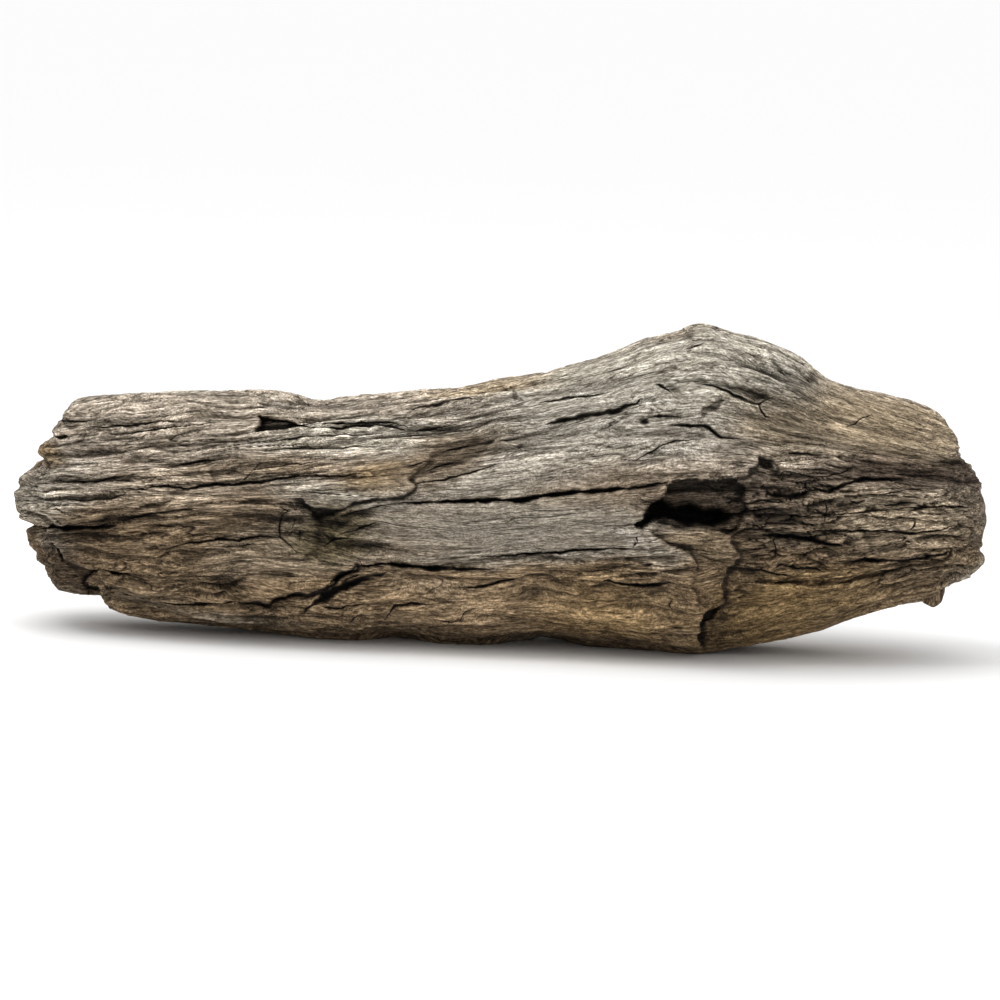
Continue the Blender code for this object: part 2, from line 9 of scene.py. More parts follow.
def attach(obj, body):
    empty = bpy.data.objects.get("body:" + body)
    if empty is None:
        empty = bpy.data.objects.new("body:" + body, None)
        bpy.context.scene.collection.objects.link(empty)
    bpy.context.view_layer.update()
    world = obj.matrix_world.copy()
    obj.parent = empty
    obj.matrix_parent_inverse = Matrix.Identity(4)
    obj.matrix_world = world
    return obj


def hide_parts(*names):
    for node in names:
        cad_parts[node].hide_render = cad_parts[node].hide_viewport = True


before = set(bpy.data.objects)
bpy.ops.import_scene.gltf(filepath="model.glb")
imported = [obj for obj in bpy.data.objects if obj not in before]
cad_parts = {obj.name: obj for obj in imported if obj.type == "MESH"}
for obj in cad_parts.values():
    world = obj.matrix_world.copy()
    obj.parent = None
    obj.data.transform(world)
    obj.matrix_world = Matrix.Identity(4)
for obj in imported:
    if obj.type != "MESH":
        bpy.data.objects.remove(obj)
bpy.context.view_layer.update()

# The log is laid out in millimetres on a plane that leans back with the view:
# a runs along the log, b runs up it. It turns into metres when the mesh is filled.
mm = 0.001
layoutLean = math.radians(8)
leanSin, leanCos = math.sin(layoutLean), math.cos(layoutLean)

camera = {
    "axisPoint": (-2.55, 66.3),   # where the lens points on the layout plane
    "distance": 1950,
    "roll": math.radians(2.26),
    "lens": 150.4,                # mm on a 36 mm sensor
}

log = {
    "columns": 440,
    "rings": 880,
    "pieces": 4,     # lengths that the mesh is made in
    "frontCrowding": 0.45,
    "seed": 41,
    "endRounding": 22,
    "endBreak": (4, 1.5),    # left and right
    "sectionPower": 0.8,
    "topLine": [
        (-227.5, 57), (-227, 62), (-224.5, 66), (-221.5, 70), (-217.5, 74), (-215.5, 82), (-212.5, 85),
        (-210.5, 88), (-209, 93.5), (-208, 96), (-206.5, 99.5), (-203.5, 103), (-200, 105.5), (-195.5, 106.5),
        (-186, 107.5), (-170, 109), (-153.5, 110), (-135, 111), (-115.5, 112.5), (-107, 112.5), (-97.5, 111),
        (-92, 109), (-85.5, 109), (-76.5, 110.5), (-62.5, 112), (-51, 114), (-32.5, 116), (-18.5, 118.5),
        (-4.5, 122.5), (5, 124), (16.5, 125.5), (23.5, 128), (32.5, 131), (42, 134), (51, 137.5), (60, 142),
        (69.5, 144.5), (78.5, 147), (82, 149.5), (85, 150.5), (90.5, 150), (95.5, 148.5), (99.5, 147),
        (106.5, 145.5), (112.5, 145), (116, 143.5), (121, 142), (125.5, 140.5), (130.5, 138.5), (136, 134.5),
        (144.5, 128.5), (155, 125), (173, 122), (185, 120), (194.5, 116), (202.5, 110.5), (207, 103),
        (209, 97), (213, 92.5), (218, 86.5), (221.5, 79.5), (223, 74), (224, 66.5),
    ],
    "bottomLine": [
        (-227.5, 55.5), (-226, 51), (-222.8, 48), (-221.8, 41.5), (-220, 36), (-217, 30.5),
        (-212.5, 26.5), (-210.5, 20.5), (-206, 16.5), (-198.5, 15), (-187, 15), (-183.5, 12),
        (-181, 9), (-173, 6), (-158.5, 4), (-121, 2), (-102.5, 0), (-74.5, -0.5), (-51, 3),
        (-39.5, 2.5), (-27.5, 0.5), (-9, 0.5), (5, 3), (19, 4.5), (30.5, 4), (40, 2.5), (75, 1.5),
        (89, 0), (100.5, 1), (114.5, 3), (131, 7.5), (149.5, 12), (163, 17.5), (177, 22.5),
        (188.5, 26), (198, 27.5), (204.5, 32), (211.5, 37), (218, 39.5), (222.5, 44), (223.5, 50),
        (223.8, 56), (224, 65.5),
    ],
    "frontDepth": [
        (-228, 24), (-205, 34), (-150, 43), (-60, 49), (20, 53), (85, 58), (150, 50), (200, 38),
        (224, 24),
    ],
    "backDepth": [
        (-228, 20), (-200, 30), (-140, 40), (-40, 47), (60, 52), (110, 50), (160, 42), (205, 32),
        (224, 20),
    ],
    "planWander": [(-228, 5), (-120, -2), (0, 2), (90, -3), (224, 6)],
    "restHalf": (88, 17),
    "restCentre": (2, 6),
    "restWear": 1.4,
}

# Growth layers of the worn face, from top to bottom
fibres = {
    "pitch": 14,
    "easing": 16,    # mm over which a bend in the grain is eased
    "lines": [
        [
            (-226, 100), (-141, 110), (-86, 107), (-40, 113), (22, 127), (50, 136), (85, 147),
            (114, 142), (132, 135), (156, 124), (180, 119), (222, 104),
        ],
        [
            (-226, 84), (-163, 89), (-117, 96), (-72, 100), (-26, 106), (18, 116), (50, 125),
            (86, 135), (114, 129), (132, 121), (156, 113), (222, 97),
        ],
        [
            (-226, 72), (-163, 77), (-117, 83), (-71, 88), (-26, 95), (23, 104), (60, 113), (87, 116),
            (107, 111), (129, 103), (157, 100), (222, 91),
        ],
        [
            (-226, 64), (-162, 67), (-116, 71), (-71, 76), (-25, 82), (42, 92), (87, 97), (115, 97),
            (157, 94), (222, 86),
        ],
        [
            (-226, 57), (-205, 56), (-162, 60), (-116, 64), (-70, 66), (-25, 65), (20, 69), (70, 75),
            (157, 81), (222, 79),
        ],
        [
            (-226, 48), (-204, 46), (-176, 49), (-116, 56), (-79, 54), (-24, 51), (21, 55), (107, 62),
            (222, 69),
        ],
        [
            (-226, 37), (-161, 38), (-115, 43), (-69, 40), (-46, 36), (-1, 41), (62, 47), (158, 50),
            (222, 58),
        ],
        [
            (-226, 25), (-161, 24), (-115, 27), (-78, 26), (-23, 31), (62, 33), (150, 33), (182, 41),
            (222, 48),
        ],
        [
            (-226, 17), (-174, 9), (-137, 4), (-77, 2), (18, 6), (64, 4), (91, 2), (119, 6), (164, 20),
            (222, 38),
        ],
    ],
}

# Broken ledges: path, drop, reach of the raised side, reach of the sunken side.
# The wood on the left of the path stands higher.
ledges = [
    # lower edge of the torn tongue
    ([
        (-120, 15.5), (-109, 15.5), (-104.5, 15.5), (-101, 17.5), (-98.5, 19.5), (-95, 20.5),
        (-90.5, 20.5), (-87, 20.5), (-83.5, 21.5), (-81, 23), (-79, 26), (-76, 28.5), (-72.5, 31.5),
        (-69.5, 33), (-67, 36), (-64.5, 38.5),
    ], 9, 24, 12),
    # upper edge of the tongue
    ([(-64.5, 38.5), (-69.5, 39.5), (-76.5, 38), (-82, 36.5), (-88.5, 35), (-92, 32.5)], 2, 8, 8),
    # second layer
    ([
        (-125.5, 8), (-114, 8), (-105, 8.5), (-99, 10), (-95, 11), (-91.5, 12), (-89.5, 14),
        (-87, 16.5),
    ], 3, 8, 12),
    # small plate
    ([
        (-75.5, 22.5), (-71, 25), (-64.5, 27.5), (-59.5, 30), (-53.5, 31.5), (-51.5, 34), (-52, 36),
        (-57, 36),
    ], 2.5, 8, 12),
    # curled layer
    ([
        (-97.5, 62.5), (-94.5, 64), (-92, 63.5), (-89, 61.5), (-86, 60), (-82, 59.5), (-78, 60),
        (-74, 61), (-70.5, 62.5), (-66, 63), (-61.5, 64.5), (-57, 65.5), (-51.5, 66), (-47, 66.5),
        (-43.5, 68.5), (-41.5, 71), (-42.5, 73), (-45.5, 74.5),
    ], 5, 9, 8),
    # lower left recess
    ([
        (-212, 41), (-208, 39.5), (-204, 36), (-200, 32.5), (-195, 31), (-190.5, 29), (-185.5, 28),
        (-187.5, 25), (-189.5, 21.5), (-185.5, 20), (-186.5, 17.5), (-182, 15),
    ], 6, 24, 34),
    # upper left bulge
    ([
        (-220, 54), (-212, 52.5), (-207.5, 49), (-203.5, 47), (-197.5, 48), (-190, 49.5), (-184, 51),
        (-179.5, 53), (-177, 53.5), (-171.5, 56), (-162.5, 58.5), (-148.5, 62),
    ], 3.5, 14, 12),
    # torn layer left
    ([
        (-168, 79), (-166.5, 77), (-162, 75), (-159, 74), (-156, 73), (-151.5, 73), (-146.5, 74),
    ], 1.8, 10, 8),
    # thin plate on the block
    ([
        (57, 42), (58, 40.5), (60.5, 38), (65, 37), (70.5, 36), (76.5, 36), (79, 38.5), (84.5, 40),
        (86, 42), (85, 44), (83, 46.5), (79.5, 47.5), (75, 48.5), (71, 50.5), (69, 53), (66.5, 55),
        (64, 56.5),
    ], 2, 10, 10),
    # lower edge of the grey panel
    ([(-51, 33), (-37.5, 32.5), (-10, 32.5), (17, 34), (43.5, 33.5), (63, 31), (77.5, 33)], 2.2, 14, 12),
    # upper plank
    ([(-95, 101.5), (-112, 101), (-112.5, 93.5)], 1.5, 10, 8),
    # crest edge
    ([(132.5, 124.5), (124, 128.5), (120, 133), (116.5, 136.5), (113.5, 140.5), (112, 142.5)], 1.8, 12, 14),
    # decayed area, upper strip
    ([(109, 77.5), (116, 77), (120.5, 78), (127.5, 77), (134.5, 76.5), (137, 75.5)], 2, 6, 5),
    # decayed area, middle strip
    ([
        (119, 55), (130.5, 55.5), (142.5, 53.5), (154, 52), (163, 54.5), (172.5, 54), (184.5, 55),
        (194, 58), (210.5, 63.5),
    ], 2, 8, 6),
    # decayed area, lower strip
    ([
        (124, 48), (131, 48.5), (138, 49), (142.5, 47), (152, 45.5), (175.5, 46.5), (184.5, 47.5),
        (196.5, 50), (207, 52),
    ], 2, 8, 7),
    # light plank of the decayed area
    ([
        (146.5, 58.5), (145, 62), (145.5, 66.5), (148.5, 69), (152.5, 71.5), (157, 72.5),
        (162.5, 73.5), (186, 73.5), (205, 74.5),
    ], 1.6, 6, 8),
    # upper edge of the smooth low part
    ([
        (211, 53.5), (194.5, 45.5), (182.5, 42.5), (171, 38.5), (159.5, 34.5), (141, 32.5),
        (131.5, 33), (122.5, 33.5), (108.5, 34),
    ], 3, 18, 14),
    # hump ledge
    ([(106, 97.5), (97, 97.5), (83, 97), (71.5, 97), (64, 97), (55.5, 95)], 1.3, 8, 8),
    # top plank
    ([(-81.5, 113), (-89.5, 109), (-95, 106), (-102, 104)], 1.5, 14, 10),
    # tan tip edge
    ([(-2.5, 124.5), (-4.5, 120.5), (0, 117), (-4, 114.5), (-13, 113)], 1.5, 12, 12),
]

# Parts that lie deeper than the wood round them: outline, rise, width of the wall,
# and where along the log the step fades in
regions = [
    {   # mossy hollow floor
        "outline": [
            (-92, 61), (-87.5, 59.5), (-83, 59), (-78, 59.5), (-72.5, 60.5), (-66, 62), (-56.5, 61),
            (-47.5, 55.5), (-47, 44), (-56, 40), (-67, 39.5), (-76.5, 38), (-84, 36), (-90, 36),
            (-91, 39), (-89, 43), (-88.5, 49), (-90.5, 55.5),
        ],
        "rise": -3.6, "wall": 4, "fade": (-46, -76),
    },
    {   # dark fold under the curl
        "outline": [
            (-92, 60.5), (-87.5, 59.5), (-83, 59), (-78, 59.5), (-72.5, 61), (-69.5, 62),
            (-73.5, 58.5), (-77, 55.5), (-83, 54), (-87.5, 53.5), (-90.5, 56),
        ],
        "rise": -4.5, "wall": 2.4,
    },
    {   # cavity mouth
        "outline": [
            (58, 57.5), (59, 56.5), (62.5, 56), (65.5, 58), (69, 58), (72.5, 57.5), (80, 57),
            (89, 56.5), (95, 56), (99.5, 54), (104, 55.5), (108, 59), (108.5, 68), (108, 75),
            (107, 81.5), (102, 80.5), (94.5, 79), (88.5, 79), (83.5, 79.5), (78.5, 79), (74.5, 77.5),
            (71, 75.5), (69.5, 72), (69, 69), (66, 67.5), (64, 64), (61, 60),
        ],
        "rise": -5, "wall": 0.7,
    },
    {   # cavity void
        "outline": [
            (58.5, 58), (62, 61.5), (65, 65), (67, 69), (70, 71), (74, 69.5), (79.5, 67.5), (86, 69),
            (92, 66.5), (97, 67.5), (102, 64), (106, 63), (101, 59.5), (96, 57.5), (89, 58.5),
            (84, 57), (78, 59.5), (72.5, 60), (67, 58.5), (63, 57),
        ],
        "rise": -20, "wall": 3,
    },
    {   # hole under torn curl
        "outline": [
            (112, 90), (115.5, 90.5), (120, 90.5), (120.5, 88.5), (119.5, 86), (115.5, 85.5),
            (112, 86),
        ],
        "rise": -4, "wall": 1.2,
    },
    {   # slot
        "outline": [
            (-113.5, 102.5), (-110, 101.5), (-105.5, 101), (-100, 100), (-94, 97.5), (-90, 96),
            (-98, 94.5), (-106, 93), (-112.5, 92.5),
        ],
        "rise": -12, "wall": 1.6,
    },
    {   # broken end of the lower block
        "outline": [
            (66.5, 55), (69, 56), (74.5, 57), (89.5, 56), (96.5, 55), (102, 51.5), (104, 46.5),
            (103.5, 40), (100, 33.5), (99.5, 29), (99, 24.5), (96.5, 21.5), (91.5, 19.5), (87, 24),
            (85.5, 35.5), (86, 41.5), (85, 44), (80.5, 47), (75, 48.5), (70, 51),
        ],
        "rise": -2.5, "wall": 1.2,
    },
    {   # undercut of the lower block
        "outline": [(90.5, 17), (93, 20), (96.5, 21.5), (99.5, 20.5), (98, 14.5), (94.5, 13), (91, 14)],
        "rise": -4, "wall": 1.6,
    },
    {   # lens hollow on the hump
        "outline": [
            (85.5, 122.5), (92, 123), (105, 123.5), (114, 122), (119.5, 118), (115.5, 116),
            (112.5, 114), (109, 114.5), (105.5, 115.5), (101, 117), (98, 119.5), (92, 121),
        ],
        "rise": -3.2, "wall": 2.6,
    },
    {   # torn flake
        "outline": [
            (88, 106), (90.5, 108.5), (93.5, 110), (94.5, 113), (97, 115.5), (93.5, 116), (89.5, 114),
            (87, 111.5), (86.5, 108),
        ],
        "rise": -2.2, "wall": 1.2,
    },
    {   # dark fibres lost
        "outline": [
            (-46, 73), (-40, 78.5), (-37, 84), (-30.5, 88.5), (-17, 93), (-3.5, 95), (-7.5, 88),
            (-16.5, 83), (-28, 78), (-36.5, 74.5), (-42.5, 71),
        ],
        "rise": -2.5, "wall": 2,
    },
    {   # bark lost behind the crest
        "outline": [
            (113.5, 140.5), (116.5, 136.5), (120, 133), (124, 128.5), (132.5, 124.5), (146.5, 127),
            (137, 134.5), (123, 138.5),
        ],
        "rise": -1.6, "wall": 1.5,
    },
    {   # decayed patch
        "outline": [
            (162, 58.5), (170, 60), (179.5, 59), (184.5, 58), (184.5, 55), (172.5, 54), (163, 54.5),
        ],
        "rise": -2, "wall": 1.2,
    },
    {   # darker layer right of the torn end
        "outline": [
            (-136, 78.5), (-137, 77), (-134, 75.5), (-135.5, 73.5), (-132.5, 72), (-131, 69),
            (-121, 69.5), (-111, 71), (-94, 74.5), (-80, 77.5), (-94, 80), (-111.5, 80.5), (-124, 79),
        ],
        "rise": -1.8, "wall": 1, "fade": (-79, -111),
    },
    {   # dark band under the shoulder
        "outline": [
            (161, 90.5), (171, 91), (183, 91), (195, 92), (211.5, 93), (214.5, 85), (200, 84),
            (181, 82.5), (171.5, 83), (166, 84.5),
        ],
        "rise": -1.5, "wall": 1.5,
    },
]

# Shallow hollows: a, b, half length, half height, lean in degrees, depth
hollows = [
    (63, 32, 18, 4, -4, 2),
    (-127.5, 23.5, 12, 4, -5, 6),
    (-150, 70, 30, 5, 5, 1.5),
    (-199, 91, 4, 2, 0, 3),
    (-186, 45, 9, 4, -4, 3),
    (80.5, 144, 3.4, 2.6, 0, 3),
    (66, 139.5, 9, 2, 5, 1.5),
    (61, 104, 1.8, 1.6, 0, 3),
    (40, 118, 26, 3, 12, 1.6),
    (73, 119.5, 5, 1.6, -30, 1.8),
    (160, 46, 22, 4, 16, 3.5),
    (83, 25, 4, 5, -20, 1.6),
]

# The right half below the grey layers has lost its outer wood: outline, least and
# greatest step down, where the step is greatest and how far that reaches
shelf = {
    "outline": [
        (92, -7.5), (91, 6), (92.5, 9.5), (91, 13), (91, 17), (93, 20), (97, 21.5), (99.5, 24.5),
        (100, 29), (99.5, 33), (101.5, 36), (104, 40), (105, 45), (104, 47.5), (102.5, 51.5),
        (99.5, 54), (95, 56), (89, 56.5), (80, 57), (72.5, 57.5), (69, 58), (65.5, 58), (62.5, 56),
        (59, 56.5), (58, 57.5), (61, 60), (64, 64), (66, 67.5), (69, 69), (69.5, 72), (71, 75.5),
        (74.5, 77.5), (78.5, 79), (83.5, 79.5), (88.5, 79), (94.5, 79), (102, 80.5), (107, 82),
        (108, 85), (110, 87.5), (112, 90), (116.5, 90.5), (120.5, 90.5), (122, 88.5), (123, 85),
        (129.5, 85), (134, 84), (143.5, 83), (150.5, 84.5), (155, 86.5), (157, 88.5), (161, 90.5),
        (171, 91), (183, 91), (195, 92), (210, 93), (233.5, 95), (237.5, -3.5),
    ],
    "least": 2.5, "most": 9, "centre": 92, "reach": 34, "lip": 1.4, "wall": 0.9,
}

# Raised edges: path, height, half width
ridges = [
    ([
        (-100, 62.5), (-97.5, 65), (-93.5, 66.5), (-89, 66), (-84, 64.5), (-78, 63.5), (-73, 63.5),
        (-69, 63),
    ], 2, 2.2),
    ([(-78, 56), (-74, 58), (-69.5, 59.5), (-61, 62), (-50, 64.5)], 1.6, 1.4),
    ([(-75.5, 49), (-72, 51), (-68.5, 52.5), (-62, 54.5), (-57, 56)], 1.8, 1.4),
    ([(107, 83), (108, 87), (111, 90.5), (114.5, 92.5), (118, 93.5), (121, 92)], 2.8, 1.8),
    ([
        (-101, 55.5), (-97.5, 58), (-93.5, 58), (-90.5, 54.5), (-89.5, 49), (-90.5, 44), (-93, 40),
    ], 1.4, 1.6),
    ([(-97.5, 53), (-96.5, 48), (-94, 44)], 1.2, 1.6),
]

# Cracks: path, width, depth
cracks = [
    ([
        (-90.5, 11.5), (-88, 14.5), (-85.5, 16.5), (-81.5, 19), (-77.5, 20.5), (-74, 22.5), (-71, 24),
        (-68, 25.5), (-64.5, 27.5), (-62, 28.5), (-59, 30), (-55.5, 30.5), (-52.5, 32.5),
    ], 4.2, 6),
    ([(-80.5, 23), (-77, 26), (-73, 29), (-70, 30.5), (-66.5, 34)], 1.5, 4),
    ([(-73.5, 24.5), (-71.5, 26.5), (-68, 29), (-64.5, 30)], 0.8, 2),
    ([
        (-65, 37.5), (-64, 34), (-61, 34.5), (-58.5, 35.5), (-55.5, 36.5), (-50.5, 36.5), (-42, 35.5),
        (-33, 35), (-19.5, 35.5), (-1, 36.5),
    ], 2.4, 7),
    ([(-81.5, 14), (-76.5, 14), (-72.5, 14.5), (-71, 16), (-67.5, 16.5), (-62, 17.5)], 0.9, 2),
    ([(-53.5, 11), (-51, 13.5), (-49, 17), (-46, 17.5), (-41.5, 18), (-32, 18)], 0.9, 2),
    ([(-69, 9.5), (-67, 11), (-65, 13)], 0.7, 1.5),
    ([(-102, 59), (-98.5, 58.5), (-95, 59)], 0.8, 2),
    ([
        (-90.5, 56), (-93, 58.5), (-97.5, 58.5), (-101, 55.5), (-102, 51.5), (-102, 48),
        (-101.5, 45.5), (-96.5, 42), (-94, 39.5), (-91.5, 39),
    ], 0.6, 1.2),
    ([(-100, 52.5), (-98, 54.5), (-95, 53.5), (-96, 50), (-98.5, 48.5)], 0.5, 1),
    ([(-97.5, 47), (-94.5, 49.5), (-92.5, 48.5), (-92.5, 44.5)], 0.5, 1),
    ([(-78, 54.5), (-74, 56.5), (-69.5, 58), (-61, 60.5), (-50, 63)], 0.9, 2.5),
    ([(-74.5, 48.5), (-67, 50.5), (-62, 52.5), (-58, 54.5)], 0.9, 2.5),
    ([(-81, 43), (-77.5, 45.5), (-73.5, 46.5), (-67.5, 46.5)], 1.2, 2),
    ([(117.5, 75), (120.5, 73.5), (127.5, 73), (134.5, 74), (137.5, 75.5)], 2.8, 7),
    ([
        (137.5, 75.5), (141.5, 76.5), (146, 75.5), (149.5, 77.5), (153, 80), (157.5, 81.5),
        (162, 82.5), (171.5, 82.5), (181, 82.5),
    ], 1.8, 5),
    ([
        (122.5, 81), (125, 84.5), (132, 84), (137, 82.5), (143.5, 83), (150.5, 84.5), (155, 87),
        (157, 87.5),
    ], 1, 3),
    ([(117, 55), (124, 54.5), (130.5, 55), (135.5, 54), (142.5, 53), (149.5, 52), (154, 52)], 2.4, 5),
    ([
        (135, 57.5), (142, 57.5), (149, 57.5), (158.5, 58), (165.5, 58.5), (172.5, 59), (179.5, 58.5),
        (185.5, 58), (191.5, 59.5), (201, 61), (210.5, 63.5),
    ], 1.1, 3),
    ([
        (152, 45.5), (163.5, 46), (175.5, 46.5), (184.5, 47.5), (189.5, 48.5), (196.5, 50),
        (202, 51.5), (207, 52),
    ], 1.8, 5),
    ([(146.5, 65), (156, 66.5), (165, 67.5), (174.5, 68)], 0.8, 2),
    ([(184, 68), (188.5, 70), (193.5, 70.5), (200.5, 71.5), (207.5, 71.5), (214, 71.5)], 1.4, 4),
    ([(165, 70.5), (174.5, 71), (181.5, 72), (187, 72.5)], 0.9, 3),
    ([(169.5, 75), (174, 77), (181, 78.5), (190.5, 78.5)], 0.8, 2),
    ([(123, 45.5), (123.5, 48.5), (122.5, 52.5), (124, 54.5)], 0.9, 2),
    ([(135.5, 80.5), (135.5, 78), (137, 75.5)], 0.8, 2),
    ([(187.5, 64.5), (186.5, 62), (185.5, 59.5)], 0.8, 2),
    ([(145, 72), (145.5, 66.5), (145, 62)], 0.9, 2),
    ([(155.5, 72.5), (159.5, 71), (162.5, 72.5)], 1.2, 3),
    ([(110, 57), (113, 59.5), (116, 58), (119, 61)], 0.7, 2),
    ([(115.5, 62.5), (118, 65), (120, 63), (118, 61.5)], 0.6, 1.5),
    ([(128, 62), (131.5, 64.5), (135, 64), (140.5, 66.5)], 0.8, 2),
    ([(122, 41), (126.5, 42.5), (133.5, 41), (140.5, 41.5), (146, 40)], 1, 2.5),
    ([(110.5, 38.5), (117.5, 40), (124.5, 38.5), (133.5, 37)], 0.8, 2),
    ([(123.5, 92.5), (131.5, 92.5), (141, 92)], 1, 2.5),
    ([(104.5, 70.5), (109.5, 69.5), (116, 71), (123, 70), (130, 72)], 1, 3),
    ([(108, 65), (114, 66), (121, 67.5), (126.5, 65.5)], 0.8, 2),
    ([(108, 50), (113.5, 49), (119.5, 50)], 1, 2.5),
    ([
        (17, 101), (23.5, 103), (30.5, 104.5), (37, 106.5), (41.5, 107), (48.5, 108.5), (53, 110.5),
        (57.5, 112), (59.5, 114),
    ], 3, 5),
    ([(64.5, 106.5), (71, 107), (76.5, 107)], 1.1, 2.5),
    ([
        (72, 103), (78, 103), (87.5, 103.5), (90, 102.5), (93, 100.5), (96, 98.5), (101.5, 98),
        (106, 98),
    ], 1.4, 3.5),
    ([
        (85.5, 122), (90.5, 121.5), (94, 120.5), (98, 119.5), (101, 117), (105.5, 115.5), (109, 114.5),
        (112.5, 114), (115.5, 116), (119.5, 118),
    ], 1.6, 4),
    ([(112, 114), (113, 111.5), (115.5, 108.5), (117.5, 108)], 0.8, 2),
    ([(79, 138), (83, 138.5), (87, 140)], 0.8, 1.5),
    ([(66, 121), (69.5, 119.5), (73, 117.5)], 1.2, 2.5),
    ([(-208, 87), (-204.5, 86.5), (-200.5, 87)], 1.8, 4),
    ([(-192, 91.5), (-185, 92), (-178, 93), (-164, 94.5), (-145.5, 96.5)], 0.9, 2),
    ([(-182.5, 89), (-173, 90), (-161.5, 91.5), (-150, 93.5), (-131.5, 97.5)], 0.8, 2),
    ([(-153.5, 75.5), (-149, 76), (-144.5, 77), (-140, 78), (-135.5, 79), (-128.5, 79.5)], 1, 2.5),
    ([(-205, 67), (-193, 66.5), (-186, 67.5), (-177, 70), (-167.5, 71.5)], 0.9, 2),
    ([
        (-172.5, 64), (-167.5, 64.5), (-160.5, 66), (-155.5, 66.5), (-148.5, 66.5), (-144, 66),
        (-139.5, 67), (-132.5, 68.5), (-128, 68), (-121, 69), (-111, 70), (-103, 72), (-93.5, 73.5),
        (-84.5, 74), (-73, 74.5), (-65.5, 76),
    ], 1.5, 4),
    ([
        (-197.5, 58.5), (-190.5, 58.5), (-184.5, 59.5), (-179.5, 59.5), (-176.5, 61), (-173.5, 62),
        (-172.5, 64),
    ], 0.8, 2),
    ([(-220, 44.5), (-211.5, 46.5), (-204.5, 46), (-195, 46), (-185.5, 46.5), (-177, 48)], 3, 8),
    ([(-176, 49.5), (-167, 52), (-160, 54.5), (-155, 55), (-146, 56.5), (-139, 57.5)], 1.2, 3),
    ([
        (-158, 36.5), (-152.5, 38.5), (-147.5, 40.5), (-143, 42), (-138.5, 42), (-134, 43),
        (-129.5, 44), (-124, 43.5), (-120, 43.5), (-115.5, 45), (-110, 45.5), (-104, 45.5),
        (-101.5, 45.5),
    ], 1, 3),
    ([(-127, 40.5), (-120, 41), (-113, 42.5)], 0.8, 2),
    ([
        (-158.5, 14), (-146.5, 14), (-137.5, 14.5), (-128, 14.5), (-121.5, 16), (-118, 14),
        (-105, 13.5),
    ], 1, 3),
    ([(-174.5, 15), (-167.5, 15), (-160.5, 16)], 0.8, 2),
    ([
        (-93, 96), (-85.5, 95.5), (-76.5, 95), (-69.5, 96.5), (-60.5, 97.5), (-53.5, 97.5),
        (-46.5, 96.5),
    ], 1.3, 4),
    ([(-46.5, 96.5), (-37.5, 98), (-26.5, 100)], 0.9, 2),
    ([(-121, 69), (-114.5, 75.5), (-111.5, 79)], 0.5, 1),
    ([(-41, 72), (-36.5, 73), (-30, 74), (-16.5, 78), (-3, 83)], 0.9, 2),
    ([(-35.5, 78.5), (-28, 81.5), (-22, 82.5)], 0.8, 1.5),
    ([(-30, 86.5), (-24, 88.5), (-14.5, 90.5)], 0.8, 1.5),
    ([(-44, 80), (-38, 82), (-33, 82.5)], 0.8, 1.5),
    ([(-117, 86.5), (-99, 89.5), (-80.5, 92), (-58, 94)], 0.8, 1.5),
    ([(-110, 84), (-94, 86), (-76, 86.5), (-58, 88.5)], 0.8, 1.5),
    ([(-114.5, 75.5), (-98.5, 78), (-85, 79.5)], 0.8, 1.5),
    ([(59, 70), (62.5, 68.5), (66.5, 67.5)], 0.5, 1.5),
    ([(60, 52.5), (59.5, 51.5), (60.5, 50)], 0.5, 1),
    ([(58.5, 48), (60, 50)], 0.8, 1.5),
    ([(43.5, 33), (49, 32), (56, 31), (63, 30.5), (69.5, 31), (77.5, 32.5)], 2, 4),
    ([(77.5, 25), (76, 21.5), (78, 18.5)], 0.7, 1.5),
    ([(62.5, 40), (65, 39.5), (67.5, 40)], 1, 1.5),
    ([(-206.5, 94.5), (-196.5, 95), (-186.5, 95)], 0.9, 1.5),
    ([(-45, 105), (-35.5, 106), (-26.5, 108), (-13, 110)], 0.9, 2),
    ([(-15, 115), (-9, 115), (-5, 115.5)], 1.1, 2),
    ([(14, 110.5), (20, 111.5), (25.5, 113), (36.5, 115), (46.5, 117)], 1, 2),
    ([(-92, 97), (-81, 98.5), (-74, 97), (-65, 98), (-56, 99), (-46, 98)], 1.2, 4),
    ([
        (-48.5, 63), (-34, 64), (-20.5, 65), (-7, 66), (7, 66.5), (18, 69), (31.5, 71), (45, 72.5),
        (61, 74.5), (70, 76.5), (82, 79),
    ], 2, 10),
    ([(-10.5, 40.5), (1, 41.5), (14.5, 42.5), (26, 44), (37, 45.5), (48.5, 46.5), (62, 47)], 1.2, 5),
    ([(51.5, 86.5), (58.5, 87), (64, 90.5), (68.5, 93.5), (75, 96), (87.5, 97.5)], 0.9, 2),
    ([(153, 106), (156.5, 107), (161, 110), (164.5, 111)], 0.8, 1.5),
    ([(-21, 27), (-12, 26.5), (-5.5, 28.5), (-1, 30.5), (5.5, 31.5)], 1.1, 3),
    ([(-32, 11.5), (-23, 11.5), (-18.5, 12.5), (-17, 16.5), (-12, 18.5)], 0.8, 1.5),
]

